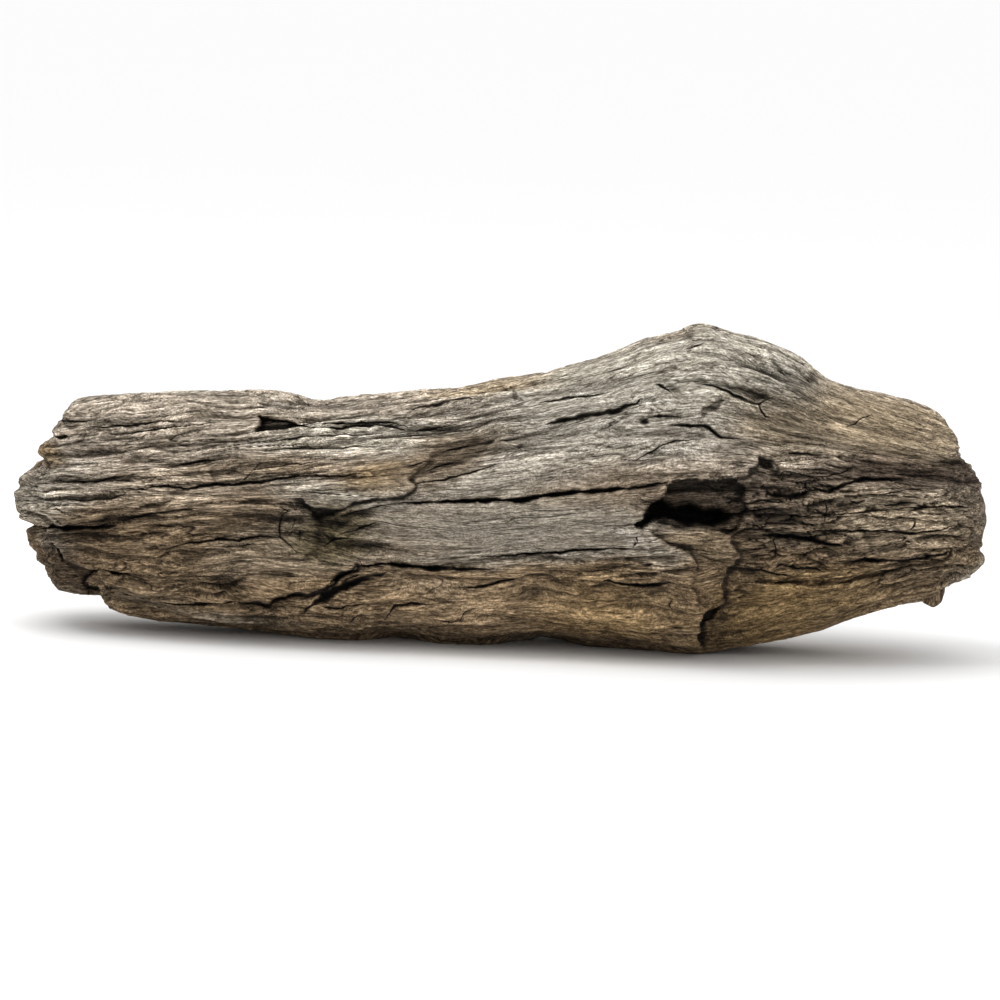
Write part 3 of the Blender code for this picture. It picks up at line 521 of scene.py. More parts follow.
# The far side, laid out as x and z
backCracks = [
    ([(-180, 72), (-120, 66), (-60, 70), (-10, 64)], 2.2, 10),
    ([(-40, 95), (10, 92), (70, 99), (120, 94)], 1.8, 8),
    ([(20, 42), (80, 47), (150, 52), (196, 60)], 2.2, 10),
    ([(-150, 50), (-100, 47), (-70, 50)], 1.2, 4),
    ([(-205, 84), (-160, 88), (-130, 86)], 1.2, 4),
    ([(100, 74), (140, 78), (175, 76)], 1.2, 4),
    ([(-90, 24), (-40, 22), (0, 26)], 1.2, 4),
]
backLedges = [
    ([(-205, 40), (-150, 34), (-90, 38), (-52, 30), (-20, 36)], 5, 26, 22),
    ([(60, 24), (64, 40), (58, 56), (66, 74), (60, 92)], 5, 50, 40),
    ([(190, 92), (140, 84), (100, 88), (70, 80)], 4, 22, 20),
]
backHollows = [
    (-96, 84, 17, 12, 8, 9),
    (126, 62, 30, 9, 5, 5),
    (10, 58, 34, 7, -4, 3),
]

# The top, laid out as x and y
topCracks = [
    ([(-186, 2), (-140, 8), (-96, 4), (-60, 9)], 2, 7),
    ([(-34, -4), (20, 3), (64, 12)], 2, 6),
    ([(96, 4), (138, 10), (190, 5)], 2, 6),
]

# Relief that follows the grain: sizes along, across and through it, and height
grain = {
    "lumps": (62, 24, 26, 1.8),
    "strands": (95, 12, 13, 0.7),
    "layers": (100, 13, 18, 0.9),
    "fineLayers": (34, 4.6, 7, 0.6),
    "threads": (22, 2.0, 4, 0.45),
    "hairs": (9, 1.0, 3, 0.25),
    "splits": (80, 5.5, 8, 1.9),
    # torn fibres: length, height, step
    "bundles": ((40, 5.2, 1.3), (20, 2.4, 0.9), (9, 1.2, 0.45)),
    "strips": (38, 3.6, 2.6),     # cracked strips of the decayed area: length, height, depth
    "chips": (15, 4.2, 1.8),      # short pieces that the worst decayed part has broken into
}

# Areas of the worn face that are smoother or more decayed: left, right, low, high
areas = {
    "panel": (-58, 62, 44, 88),
    "hump": (0, 108, 92, 150),
    "shoulder": (112, 206, 92, 125),
    "low": (108, 170, 6, 32),
    "strip": (-50, 86, 4, 32),
    "middle": (-84, 68, 42, 86),
    "decayed": (112, 204, 38, 88),
    "crumbling": (110, 150, 42, 84),
}

# Colours of the wood, as sRGB hex
woodColours = {
    "bleached": "beb8aa",
    "silver": "a39d92",
    "panelGrey": "8f897e",
    "warmGrey": "a5998a",
    "tan": "9c8a6f",
    "brown": "7e6b53",
    "ochre": "8f7650",
    "darkBrown": "4a3c2f",
    "purpleBrown": "4e3f34",
    "moss": "4c4227",
}

# Where each colour lies: a, b, half length, half height, lean, colour, strength
colourZones = [
    (70, 128, 60, 22, 10, "bleached", 1.4),
    (20, 105, 50, 12, 14, "silver", 1.2),
    (115, 130, 26, 14, -30, "bleached", 1),
    (60, 98, 40, 10, 4, "silver", 1.4),
    (-10, 78, 60, 9, 12, "silver", 1.4),
    (10, 55, 62, 10, 3, "panelGrey", 2),
    (20, 42, 55, 4, 3, "panelGrey", 2),
    (-50, 52, 20, 8, 8, "warmGrey", 1.2),
    (-70, 92, 44, 7, 3, "bleached", 1.2),
    (-28, 84, 24, 9, 22, "brown", 4),
    (-150, 100, 60, 10, 2, "warmGrey", 1.4),
    (-170, 74, 50, 12, 3, "warmGrey", 1.2),
    (-205, 68, 20, 14, 0, "silver", 1),
    (-120, 76, 34, 5, 4, "brown", 1.2),
    (-58, 74, 16, 5, 8, "ochre", 2),
    (-130, 34, 50, 20, 2, "brown", 1.5),
    (-204, 30, 14, 12, -20, "darkBrown", 2),
    (-77, 48, 15, 10, 16, "moss", 5),
    (-10, 22, 80, 14, 0, "brown", 1.5),
    (50, 18, 30, 12, 0, "ochre", 1.8),
    (80, 30, 22, 24, 0, "brown", 1.5),
    (66, 49, 16, 7, -30, "silver", 2),
    (92, 50, 12, 6, -20, "tan", 1),
    (130, 20, 36, 14, 10, "ochre", 4),
    (180, 36, 30, 12, 15, "brown", 1.2),
    (125, 66, 26, 16, 0, "darkBrown", 1.8),
    (178, 66, 34, 12, 3, "tan", 1.6),
    (182, 68, 32, 14, 3, "warmGrey", 1),
    (185, 86, 36, 6, 2, "purpleBrown", 3),
    (170, 108, 44, 14, -6, "tan", 2.2),
    (122, 106, 18, 12, -10, "tan", 1.4),
    (-8, 119, 26, 6, 10, "tan", 2.4),
    (72, 144, 12, 3, 6, "brown", 2),
    (-214, 80, 9, 5, 0, "ochre", 7),
    (85, 66, 26, 9, 0, "darkBrown", 2),
]


# Darker and lighter areas, three of them painted shade or painted light: a, b, half length, half height, lean,
# factor
toneZones = [
    # painted shade on the wood right of the hump
    (124, 114, 22, 14, -24, 0.6),
    (128, 128, 16, 10, -30, 0.74),
    (60, 118, 40, 16, 8, 0.92),
    (10, 56, 60, 12, 3, 1.26),
    (5, 81, 60, 7, 9, 1.42),
    (-165, 66, 50, 10, 3, 1.95),
    (-150, 98, 64, 12, 2, 1.26),
    (-20, 22, 60, 12, 0, 1.5),
    (-92, 26, 20, 8, 10, 1.2),
    (52, 22, 26, 10, 0, 1.2),
    (80, 42, 18, 14, 0, 1.2),
    (-80, 82, 36, 9, 8, 1.5),
    (175, 66, 34, 11, 3, 1.6),
    (120, 62, 20, 16, 0, 1.65),
    (-25, 83, 22, 9, 20, 0.68),
    (20, 42, 55, 4, 3, 1.1),
    # painted light on the inner wall under the cavity lip
    (88, 75, 18, 3.5, 0, 1.9),
    # painted shadow right of the broken end of the lower block
    (109, 38, 6, 17, 0, 0.66),
    (185, 87, 34, 4.5, 2, 1.1),
    (190, 42, 26, 9, 15, 0.75),
    (130, 20, 34, 12, 10, 0.92),
    (-85, 50, 5, 10, 0, 0.7),
    (170, 108, 40, 12, -6, 1.22),
    (72, 143, 14, 4, 8, 0.6),
    (-8, 118, 22, 6, 10, 1.65),
    (-76, 48, 16, 10, 20, 1.5),
]


def hexColour(text):
    parts = [int(text[i:i + 2], 16) / 255 for i in (0, 2, 4)]
    return [c / 12.92 if c <= 0.04045 else ((c + 0.055) / 1.055) ** 2.4 for c in parts]


def smooth(low, high, value):
    t = np.clip((value - low) / (high - low), 0, 1)
    return t * t * (3 - 2 * t)


def along(line, x):
    points = np.array(line, float)
    return np.interp(x, points[:, 0], points[:, 1])


def gradientNoise(x, y, z, seed):   # smooth noise from -1 to 1, one unit a cell
    rng = np.random.default_rng(seed)
    order = np.tile(rng.permutation(256), 3)
    slopes = rng.normal(size=(256, 3))
    slopes /= np.linalg.norm(slopes, axis=1)[:, None]
    cell = [np.floor(v).astype(int) for v in (x, y, z)]
    part = [v - c for v, c in zip((x, y, z), cell)]
    fade = [t * t * t * (t * (6 * t - 15) + 10) for t in part]
    total = np.zeros_like(part[0])
    for i in (0, 1):
        for j in (0, 1):
            for k in (0, 1):
                index = order[(cell[0] + i) % 256]
                index = order[index + (cell[1] + j) % 256]
                slope = slopes[order[index + (cell[2] + k) % 256]]
                height = slope[..., 0] * (part[0] - i)
                height += slope[..., 1] * (part[1] - j)
                height += slope[..., 2] * (part[2] - k)
                weight = fade[0] if i else 1 - fade[0]
                weight = weight * (fade[1] if j else 1 - fade[1])
                weight = weight * (fade[2] if k else 1 - fade[2])
                total += weight * height
    return total * 1.6


# Returns the distance to the nearest seam between ragged blocks, and each block's own number
def blockNoise(u, v, seed):
    rng = np.random.default_rng(seed)
    jitter = rng.random((4096, 3))
    cellU, cellV = np.floor(u).astype(int), np.floor(v).astype(int)
    nearest = np.full_like(u, 9.0)
    second = np.full_like(u, 9.0)
    own = np.zeros_like(u)
    for i in (-1, 0, 1):
        for j in (-1, 0, 1):
            cu, cv = cellU + i, cellV + j
            spot = jitter[(cu * 73 + cv * 1291) % 4096]
            away = np.hypot(cu + spot[:, 0] - u, cv + spot[:, 1] - v)
            closer = away < nearest
            second = np.where(closer, nearest, np.minimum(second, away))
            own = np.where(closer, spot[:, 2], own)
            nearest = np.where(closer, away, nearest)
    return second - nearest, own


def fibreHeight(a, b):
    reach = fibres["easing"]
    heights = np.stack([
        sum(along(line, a + step) for step in (-reach, -reach / 2, 0, reach / 2, reach)) / 5
        for line in fibres["lines"]
    ])
    level = np.zeros_like(b)
    last = len(heights) - 2
    for k in range(last + 1):
        share = (heights[k] - b) / np.maximum(heights[k] - heights[k + 1], 1.5)
        level += np.clip(share, -3 if k == 0 else 0, 4 if k == last else 1)
    return -level * fibres["pitch"]


def pathDistance(a, b, path):   # distance, side (1 on the left), length along, whole length
    points = np.array(path, float)
    best, side, run = np.full_like(a, 1e9), np.ones_like(a), np.zeros_like(a)
    start = 0.0
    for p, q in zip(points[:-1], points[1:]):
        step = q - p
        size = np.hypot(*step)
        share = ((a - p[0]) * step[0] + (b - p[1]) * step[1]) / size**2
        share = np.clip(share, 0, 1)
        away = np.hypot(a - p[0] - share * step[0], b - p[1] - share * step[1])
        near = away < best
        turn = step[0] * (b - p[1]) - step[1] * (a - p[0])
        side = np.where(near, np.where(turn >= 0, 1.0, -1.0), side)
        run = np.where(near, start + share * size, run)
        best = np.minimum(best, away)
        start += size
    return best, side, run, start


def nearTo(a, b, path, reach):   # the points in the box round a path
    points = np.array(path)
    low, high = points.min(axis=0) - reach, points.max(axis=0) + reach
    return np.where((a > low[0]) & (a < high[0]) & (b > low[1]) & (b < high[1]))[0]


def ledgeHeight(a, b, ledge):   # a step with a dark crease at its foot
    path, drop, reachUp, reachDown = ledge
    height = np.zeros_like(a)
    near = nearTo(a, b, path, 2 * max(reachUp, reachDown))
    away, side, run, length = pathDistance(a[near], b[near], path)
    ends = smooth(0, 9, run) * smooth(0, 9, length - run)
    edge = np.tanh(away / 0.5)
    up = edge * np.exp(-((away / reachUp) ** 1.5))
    down = edge * np.exp(-((away / reachDown) ** 1.5)) + 0.5 * np.exp(-(((away - 1) / 0.9) ** 2))
    height[near] = ends * drop * np.where(side > 0, 0.4 * up, -0.6 * down)
    return height


def ridgeHeight(a, b, ridge):
    path, high, half = ridge
    height = np.zeros_like(a)
    near = nearTo(a, b, path, 3 * half)
    away, side, run, length = pathDistance(a[near], b[near], path)
    ends = smooth(0, 5, run + 1) * smooth(0, 5, length - run + 1)
    height[near] = high * np.exp(-((away / half) ** 2)) * ends
    return height


def insideOutline(a, b, outline):   # even-odd test
    inside = np.zeros(len(a), bool)
    for (a0, b0), (a1, b1) in zip(outline, outline[1:] + outline[:1]):
        if b0 != b1:
            crossing = (b0 > b) != (b1 > b)
            inside ^= crossing & (a < (a1 - a0) * (b - b0) / (b1 - b0) + a0)
    return inside


def shelfHeight(a, b):
    outline = shelf["outline"]
    away, side, run, length = pathDistance(a, b, outline)
    drop = shelf["least"] + shelf["most"] * np.exp(-(((a - shelf["centre"]) / shelf["reach"]) ** 2))
    drop *= smooth(-10, 12, b) * 0.35 + 0.65
    wall = -drop * np.tanh(away / shelf["wall"])
    lip = shelf["lip"] * np.exp(-away / 12) * smooth(0, 20, run) * smooth(150, 110, a)
    return np.where(insideOutline(a, b, outline), wall, lip)


def ovalShare(a, b, oval, power):   # 1 in the middle of a leaning oval, fading out past its rim
    centreA, centreB, halfA, halfB, lean = oval
    cos, sin = math.cos(math.radians(lean)), math.sin(math.radians(lean))
    u = ((a - centreA) * cos + (b - centreB) * sin) / halfA
    v = (-(a - centreA) * sin + (b - centreB) * cos) / halfB
    return np.exp(-((u * u + v * v) ** power))


def hollowHeight(a, b, hollow):
    *oval, depth = hollow
    return -depth * ovalShare(a, b, oval, 1.3)


def regionHeight(a, b, region):
    height = np.zeros_like(a)
    near = nearTo(a, b, region["outline"], 0)
    outline = region["outline"]
    away = pathDistance(a[near], b[near], outline + outline[:1])[0]
    inside = insideOutline(a[near], b[near], outline)
    share = inside * smooth(0, region["wall"], away)
    if "fade" in region:
        share *= smooth(*region["fade"], a[near])
    height[near] = region["rise"] * share
    return height


# Returns the groove depth, and the distance across the nearest crack with its nearness
def crackHeight(a, b, crackList):
    depth = np.zeros_like(a)
    across = np.full_like(a, 3.0)
    nearness = np.zeros_like(a)
    for path, width, deep in crackList:
        near = nearTo(a, b, path, 6)
        away, side, run, length = pathDistance(a[near], b[near], path)
        swell = np.clip(np.minimum(run, length - run) / (0.3 * length), 0, 1) ** 0.6
        swell *= 0.75 + 0.5 * gradientNoise(a[near] / 7, b[near] / 7, 0 * away + length, log["seed"] + 40)
        wide = np.maximum(width * swell, 0.25)
        groove = np.clip(1 - away / (wide / 2 + 0.3), 0, 1) ** 0.8 * deep * swell
        depth[near] = np.maximum(depth[near], groove)
        close = smooth(2.2, 1.2, away) * smooth(0, 2, np.minimum(run, length - run) + 1.2)
        better = away / wide < np.abs(across[near])
        across[near] = np.where(better, side * away / wide, across[near])
        nearness[near] = np.maximum(close, nearness[near])
    return -depth, across, nearness


def ragged(a, b, y):   # torn edges wander by a few millimetres
    seed = log["seed"] + 30
    a = (
        a
        + 3.4 * gradientNoise(a / 15, b / 7, y / 14, seed)
        + 1.1 * gradientNoise(a / 6, b / 3, y / 7, seed + 1)
    )
    b = (
        b
        + 1.2 * gradientNoise(a / 12, b / 8, y / 12, seed + 2)
        + 0.5 * gradientNoise(a / 5, b / 4, y / 7, seed + 3)
    )
    return a, b


def endShare(x):
    left, right = log["topLine"][0][0], log["topLine"][-1][0]
    u = np.clip(np.minimum(x - left, right - x) / log["endRounding"], 0, 1)
    return np.sqrt(np.maximum(1 - (1 - u) ** 3, 0))


def ringStations(count):
    x = np.linspace(log["topLine"][0][0], log["topLine"][-1][0], 6000)
    radius = (along(log["topLine"], x) - along(log["bottomLine"], x)) / 2
    radius = np.minimum(radius, 55) * endShare(x)
    length = np.concatenate([[0], np.cumsum(np.hypot(np.diff(x), np.diff(radius)))])
    return np.interp(np.linspace(0, length[-1], count), length, x)


def plainSurface(x, angle):
    top = (along(log["topLine"], x - 2) + along(log["topLine"], x) * 2 + along(log["topLine"], x + 2)) / 4
    bottom = along(log["bottomLine"], x)
    cos, sin = np.cos(angle), np.sin(angle)
    outward = np.sign(cos) * np.abs(cos) ** log["sectionPower"]
    up = np.sign(sin) * np.abs(sin) ** log["sectionPower"]
    depth = np.where(cos > 0, along(log["frontDepth"], x), along(log["backDepth"], x)) * endShare(x)
    y = along(log["planWander"], x) - depth * outward
    b = (top + bottom) / 2 + (top - bottom) / 2 * up
    return y, b


def restShare(x, y):
    u = np.abs(x - log["restCentre"][0]) / log["restHalf"][0]
    v = np.abs(y - log["restCentre"][1]) / log["restHalf"][1]
    return smooth(1.25, 0.95, u) * smooth(1.6, 0.95, v)


def patchShare(a, b, left, right, low, high, soft=10):
    across = smooth(left - soft, left + soft, a) * smooth(right + soft, right - soft, a)
    return across * smooth(low - soft / 2, low + soft / 2, b) * smooth(high + soft / 2, high - soft / 2, b)


# Returns the coarse relief, the fine relief, the grain coordinates, how lively the grain is, and a colour
# factor: a random tone for each fibre bundle, strip and chip, with painted shade in the open seams between
# strips and the gaps between chips
def grainHeight(x, y, b, front):
    seed = log["seed"]
    f = fibreHeight(x, b)

    def area(name):
        return patchShare(x, b, *areas[name]) * front

    def wave(name, number, u=x, v=f):
        long, wide, deep = grain[name][:3]
        return gradientNoise(u / long, v / wide, y / deep, seed + number)

    lumps = grain["lumps"][3] * wave("lumps", 0)
    strands = grain["strands"][3] * (0.6 - 2 * np.abs(wave("strands", 1)))
    layers = wave("layers", 2) * 3
    layers = np.floor(layers) + smooth(0.3, 0.7, layers - np.floor(layers))
    coarse = lumps + strands + grain["layers"][3] * (layers + 0.5)

    warp = gradientNoise(x / 34, f / 9, y / 14, seed + 9)
    xw = x + 9 * warp
    fw = f + 1.6 * gradientNoise(x / 26, f / 7, y / 10, seed + 10)
    fine = wave("fineLayers", 4, xw, fw) * 4
    share = fine - np.floor(fine)
    fine = np.floor(fine) + 1 - 0.55 * (1 - share) * smooth(0, 0.12, share) - smooth(0.12, 0.0, share)
    fine = grain["fineLayers"][3] * fine
    fine += grain["threads"][3] * (0.5 - 2 * np.abs(wave("threads", 5, xw, fw)))
    split = np.abs(wave("splits", 6, xw, fw))
    where = smooth(-0.1, 0.35, gradientNoise(x / 60, f / 16, y / 20, seed + 7))
    splits = -grain["splits"][3] * smooth(0.06, 0.0, split) * where
    fine += splits
    fine += grain["hairs"][3] * (0.5 - 2 * np.abs(wave("hairs", 16, xw, fw)))
    torn = 3.5 * gradientNoise(x / 5, f / 0.9, y / 3, seed + 17)
    toneAndGapShade = np.zeros_like(x)
    for number, (long, high, step) in enumerate(grain["bundles"]):
        own = blockNoise((xw + torn) / long + 90, fw / high + 90, seed + 12 + number)[1]
        fine += step * (own - 0.5)
        toneAndGapShade += 0.3 * (own - 0.5)

    panel, hump, shoulder = area("panel"), area("hump"), area("shoulder")
    decayed, crumbling = area("decayed"), area("crumbling")
    long, high, deep = grain["strips"]
    seam, own = blockNoise((xw + 0.6 * torn) / long + 40, fw / high + 40, seed + 8)
    opened = smooth(-0.3, 0.3, gradientNoise(x / 30, b / 8, y / 20, seed + 15))
    worst = 1.3 - 0.6 * smooth(125, 170, x)   # the left part of the area is the most decayed
    strips = worst * (2.8 * (own - 0.5) - deep * smooth(0.16, 0.0, seam) * opened)
    fine = fine * (1 - 0.3 * decayed) + strips * decayed
    long, high, deep = grain["chips"]
    gap, chip = blockNoise((xw + torn) / long + 20, fw / high + 20, seed + 18)
    fine += crumbling * (1.6 * (chip - 0.5) - deep * smooth(0.14, 0.0, gap))

    # painted shade: open seams between strips and gaps between chips are painted darker, over a random tone
    # for each strip and chip
    stripToneAndSeamShade = worst * (1.1 * (own - 0.5) - 0.7 * smooth(0.14, 0.0, seam) * opened)
    chipToneAndGapShade = 0.5 * (chip - 0.5) - 0.6 * smooth(0.12, 0.0, gap)
    toneAndGapShade = toneAndGapShade * (1 - 0.8 * hump - 0.6 * panel) * (1 - decayed)
    toneAndGapShade += decayed * stripToneAndSeamShade + crumbling * chipToneAndGapShade
    calm = 1 - 0.35 * area("strip") - 0.8 * panel - 0.5 * shoulder - 0.6 * area("low") - 0.55 * hump
    rough = 1 - 0.6 * area("middle") - 0.5 * shoulder - 0.7 * hump
    return coarse * rough, fine * calm, xw, fw, calm, toneAndGapShade


# Lobes and notches of the broken ends: height up the log, how far to the right, half width
endLobes = {
    "left": [(87, 4, 1.3), (82, -2, 4), (77, 2.5, 1.3), (65, -2, 8), (46.5, 4, 1.6), (33, 2, 3)],
    "right": [(93, -2, 2), (79, -1.5, 1.5), (62, 0.5, 6), (52, -2, 1.5), (44, 1, 5)],
}


def brokenEnd(x, y, b):
    steps = gradientNoise(fibreHeight(x, b) / 13, y / 17, np.sign(x) * 3.3 + 0 * x, log["seed"] + 3)
    left, right = log["topLine"][0][0], log["topLine"][-1][0]
    near = smooth(30, 8, np.minimum(x - left, right - x))
    lobes = np.zeros_like(x)
    for side, share in (("left", x < 0), ("right", x > 0)):
        for height, shift, half in endLobes[side]:
            lobes += share * shift * np.exp(-(((b - height) / half) ** 2))
    torn = np.where(x < 0, log["endBreak"][0], -log["endBreak"][1])
    return near * (lobes + torn * smooth(-0.25, 0.3, steps))


def blurred(grid, reachRing, reachColumn):   # plain box blur, done twice, round the closed columns
    result = grid
    for _ in range(2):
        total = np.zeros_like(result)
        for step in range(-reachColumn, reachColumn + 1):
            total += np.roll(result, step, axis=1)
        result = total / (2 * reachColumn + 1)
        padded = np.pad(result, ((reachRing, reachRing), (0, 0)), mode="edge")
        total = np.zeros_like(result)
        for step in range(2 * reachRing + 1):
            total += padded[step:step + len(result)]
        result = total / (2 * reachRing + 1)
    return result


def zoneColour(a, b, y, front):
    seed = log["seed"]
    wobble = 7 * gradientNoise(a / 26, b / 8, y / 20, seed + 20)
    rise = 3 * gradientNoise(a / 30, b / 9, y / 20, seed + 21)
    a, b = a + wobble, b + rise
    upper = smooth(40, 110, b + 14 * gradientNoise(a / 70, b / 22, y / 40, seed + 22))
    brown, grey, pale = [hexColour(woodColours[name]) for name in ("brown", "warmGrey", "bleached")]
    base = np.outer(1 - upper, brown) + np.outer(upper, grey)
    patchy = 0.5 * smooth(0.1, 0.6, gradientNoise(a / 90, b / 20, y / 30, seed + 23))
    base += np.outer(patchy, pale) - base * patchy[:, None]
    total = np.full_like(a, 0.5)
    mixed = base * 0.5
    for *oval, name, strength in colourZones:
        share = strength * ovalShare(a, b, oval, 1.4) * (0.25 + 0.75 * front)
        total += share
        mixed += share[:, None] * np.array(hexColour(woodColours[name]))
    tone = np.ones_like(a)
    for *oval, factor in toneZones:
        tone *= 1 + (factor - 1) * front * ovalShare(a, b, oval, 1.4)
    return mixed / total[:, None] * tone[:, None]


def addNode(tree, kind, settings=None, links=None):
    node = tree.nodes.new(kind)
    for name, value in (settings or {}).items():
        if isinstance(name, int) or name in node.inputs:
            node.inputs[name].default_value = value
        else:
            setattr(node, name, value)
    for name, source in (links or {}).items():
        tree.links.new(source, node.inputs[name])
    return node


def weatheredWood():   # sun-bleached softwood: dry fibres, painted shade in its cracks, no shine
    material = bpy.data.materials.new("weathered wood")
    material.use_nodes = True
    tree = material.node_tree
    shader = tree.nodes["Principled BSDF"]
    shader.inputs["Roughness"].default_value = 0.9
    shader.inputs["Specular IOR Level"].default_value = 0.25
    # tint: for the log, the wood's colour with the painted light and shade from the mesh
    tint = addNode(tree, "ShaderNodeAttribute", {"attribute_name": "tint"}).outputs["Color"]
    fibre = addNode(tree, "ShaderNodeAttribute", {"attribute_name": "fibre"}).outputs["Vector"]
    crack = addNode(tree, "ShaderNodeAttribute", {"attribute_name": "crack"}).outputs["Vector"]

    def streaks(along, across, through, detail, rough):
        sizes = {"Scale": (1 / along, 1 / across, 1 / through)}
        place = addNode(tree, "ShaderNodeMapping", sizes, {"Vector": fibre}).outputs["Vector"]
        settings = {"Scale": 1.0, "Detail": detail, "Roughness": rough}
        return addNode(tree, "ShaderNodeTexNoise", settings, {"Vector": place}).outputs["Fac"]

    hair = streaks(4.2, 0.6, 1.5, 2.0, 0.6)     # single fibres
    thread = streaks(16, 1.5, 3, 3.0, 0.6)     # bundles of fibres
    band = streaks(60, 5, 9, 2.0, 0.5)         # growth layers
    pores = streaks(1.1, 0.5, 0.9, 1.0, 0.6)   # weathered pits

    def ramp(value, fromMin, fromMax, low, high):
        limits = {"From Min": fromMin, "From Max": fromMax, "To Min": low, "To Max": high}
        return addNode(tree, "ShaderNodeMapRange", limits, {"Value": value}).outputs["Result"]

    def calculate(kind, one, two, three=None):
        settings, links = {"operation": kind}, {}
        for place, value in enumerate((one, two, three)):
            if isinstance(value, (int, float)):
                settings[place] = value
            elif value is not None:
                links[place] = value
        return addNode(tree, "ShaderNodeMath", settings, links).outputs["Value"]

    def hairline(noise, width, mask):   # a line where the noise crosses its middle; the wood is painted dark along it as shade in a hairline check
        away = calculate("ABSOLUTE", calculate("SUBTRACT", noise, 0.5), 0)
        return calculate("MULTIPLY", ramp(away, 0.0, width, 1.0, 0.0), mask)

    parts = addNode(tree, "ShaderNodeSeparateXYZ", {}, {"Vector": crack})
    calm = parts.outputs["Z"]
    away = calculate("ABSOLUTE", parts.outputs["X"], 0)
    # painted shade along the cracks carved in the mesh, where the crack attribute says one is near
    line = calculate("MULTIPLY", ramp(away, 0.25, 0.7, 1.0, 0.0), parts.outputs["Y"])
    sparse = ramp(streaks(48, 9, 12, 1.0, 0.5), 0.44, 0.56, 0.0, 1.0)
    # hairline checks: painted shade in thin cracks, also pressed in by the bump
    checks = hairline(streaks(46, 3.0, 6, 1.0, 0.5), 0.024, sparse)
    fineWhere = ramp(streaks(18, 5, 9, 1.0, 0.5), 0.44, 0.56, 0.0, 1.0)
    fineChecks = hairline(streaks(20, 1.6, 4, 1.0, 0.5), 0.04, fineWhere)
    shortWhere = ramp(streaks(14, 3, 6, 1.0, 0.5), 0.48, 0.58, 0.0, 1.0)
    shortChecks = hairline(streaks(9, 1.1, 3, 1.0, 0.5), 0.05, shortWhere)
    checks = calculate("MAXIMUM", checks, calculate("MULTIPLY", fineChecks, 0.75))
    shortChecks = calculate("MULTIPLY", shortChecks, ramp(calm, 0.2, 1.0, 0.2, 0.7))
    checks = calculate("MAXIMUM", checks, shortChecks)
    flakes = calculate("FRACT", calculate("MULTIPLY", streaks(30, 4.4, 8, 2.0, 0.55), 9), 0)
    flakes = calculate("MULTIPLY", flakes, calm)

    broad = calculate("MULTIPLY", ramp(thread, 0.34, 0.66, 0.56, 1.34), ramp(band, 0.3, 0.7, 0.84, 1.14))
    # painted shade at the foot of each torn flake, on the low side beside the step
    broad = calculate("MULTIPLY", broad, ramp(flakes, 0.0, 0.25, 0.78, 1.0))
    broad = calculate("POWER", broad, calculate("MULTIPLY_ADD", calm, 0.7, 0.35))
    bright = calculate("MULTIPLY", ramp(hair, 0.34, 0.66, 0.42, 1.5), ramp(pores, 0.34, 0.66, 0.6, 1.4))
    bright = calculate("POWER", bright, calculate("MULTIPLY_ADD", calm, 0.14, 0.9))
    bright = calculate("MULTIPLY", bright, broad)
    # painted shade: the hairline checks and the carved cracks are painted dark
    bright = calculate("MULTIPLY", bright, ramp(checks, 0.0, 1.0, 1.0, 0.22))
    bright = calculate("MULTIPLY", bright, ramp(line, 0.0, 1.0, 1.0, 0.1))
    # darker values, the painted shade in cracks included, are made browner, and brighter ones paler
    channels = {"X": bright, "Y": calculate("POWER", bright, 1.04), "Z": calculate("POWER", bright, 1.12)}
    light = addNode(tree, "ShaderNodeCombineXYZ", {}, channels).outputs["Vector"]
    colour = addNode(tree, "ShaderNodeVectorMath", {"operation": "MULTIPLY"}, {0: tint, 1: light})
    tree.links.new(colour.outputs["Vector"], shader.inputs["Base Color"])

    # heights in tenths of a millimetre
    height = calculate("MULTIPLY_ADD", thread, 9.0, calculate("MULTIPLY", hair, 4.5))
    height = calculate("MULTIPLY_ADD", band, 6.0, height)
    height = calculate("MULTIPLY_ADD", pores, 3.5, height)
    height = calculate("MULTIPLY_ADD", flakes, 4.5, height)
    height = calculate("MULTIPLY_ADD", checks, -6.0, height)
    height = calculate("MULTIPLY_ADD", line, -9.0, height)
    bump = addNode(tree, "ShaderNodeBump", {"Strength": 1.0, "Distance": 0.0001}, {"Height": height})
    tree.links.new(bump.outputs["Normal"], shader.inputs["Normal"])
    return material


def fillMesh(piece, bm, material):
    mesh = bpy.data.meshes.new(piece)
    bm.to_mesh(mesh)
    bm.free()
    mesh.materials.append(material)
    for face in mesh.polygons:
        face.use_smooth = True
    result = bpy.data.objects.new(piece, mesh)
    bpy.context.scene.collection.objects.link(result)
    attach(result, "root")
    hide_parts("driftwood")
    return result


def addAttribute(mesh, name, kind, values):
    layer = mesh.attributes.new(name, kind, "POINT")
    layer.data.foreach_set("color" if kind == "FLOAT_COLOR" else "vector", values.astype(np.float32).ravel())


def surfaceNormals(x, y, z):
    points = np.stack([x, y, z], axis=-1)
    lengthwise = np.gradient(points, axis=0)
    around = np.roll(points, -1, axis=1) - np.roll(points, 1, axis=1)
    normal = np.cross(around, lengthwise)
    normal[0], normal[-1] = (-1, 0, 0), (1, 0, 0)
    normal /= np.maximum(np.linalg.norm(normal, axis=-1, keepdims=True), 1e-9)
    outward = (normal[..., 1] * (y - y.mean(axis=1, keepdims=True))).sum()
    return normal * (1 if outward > 0 else -1) if outward else normal


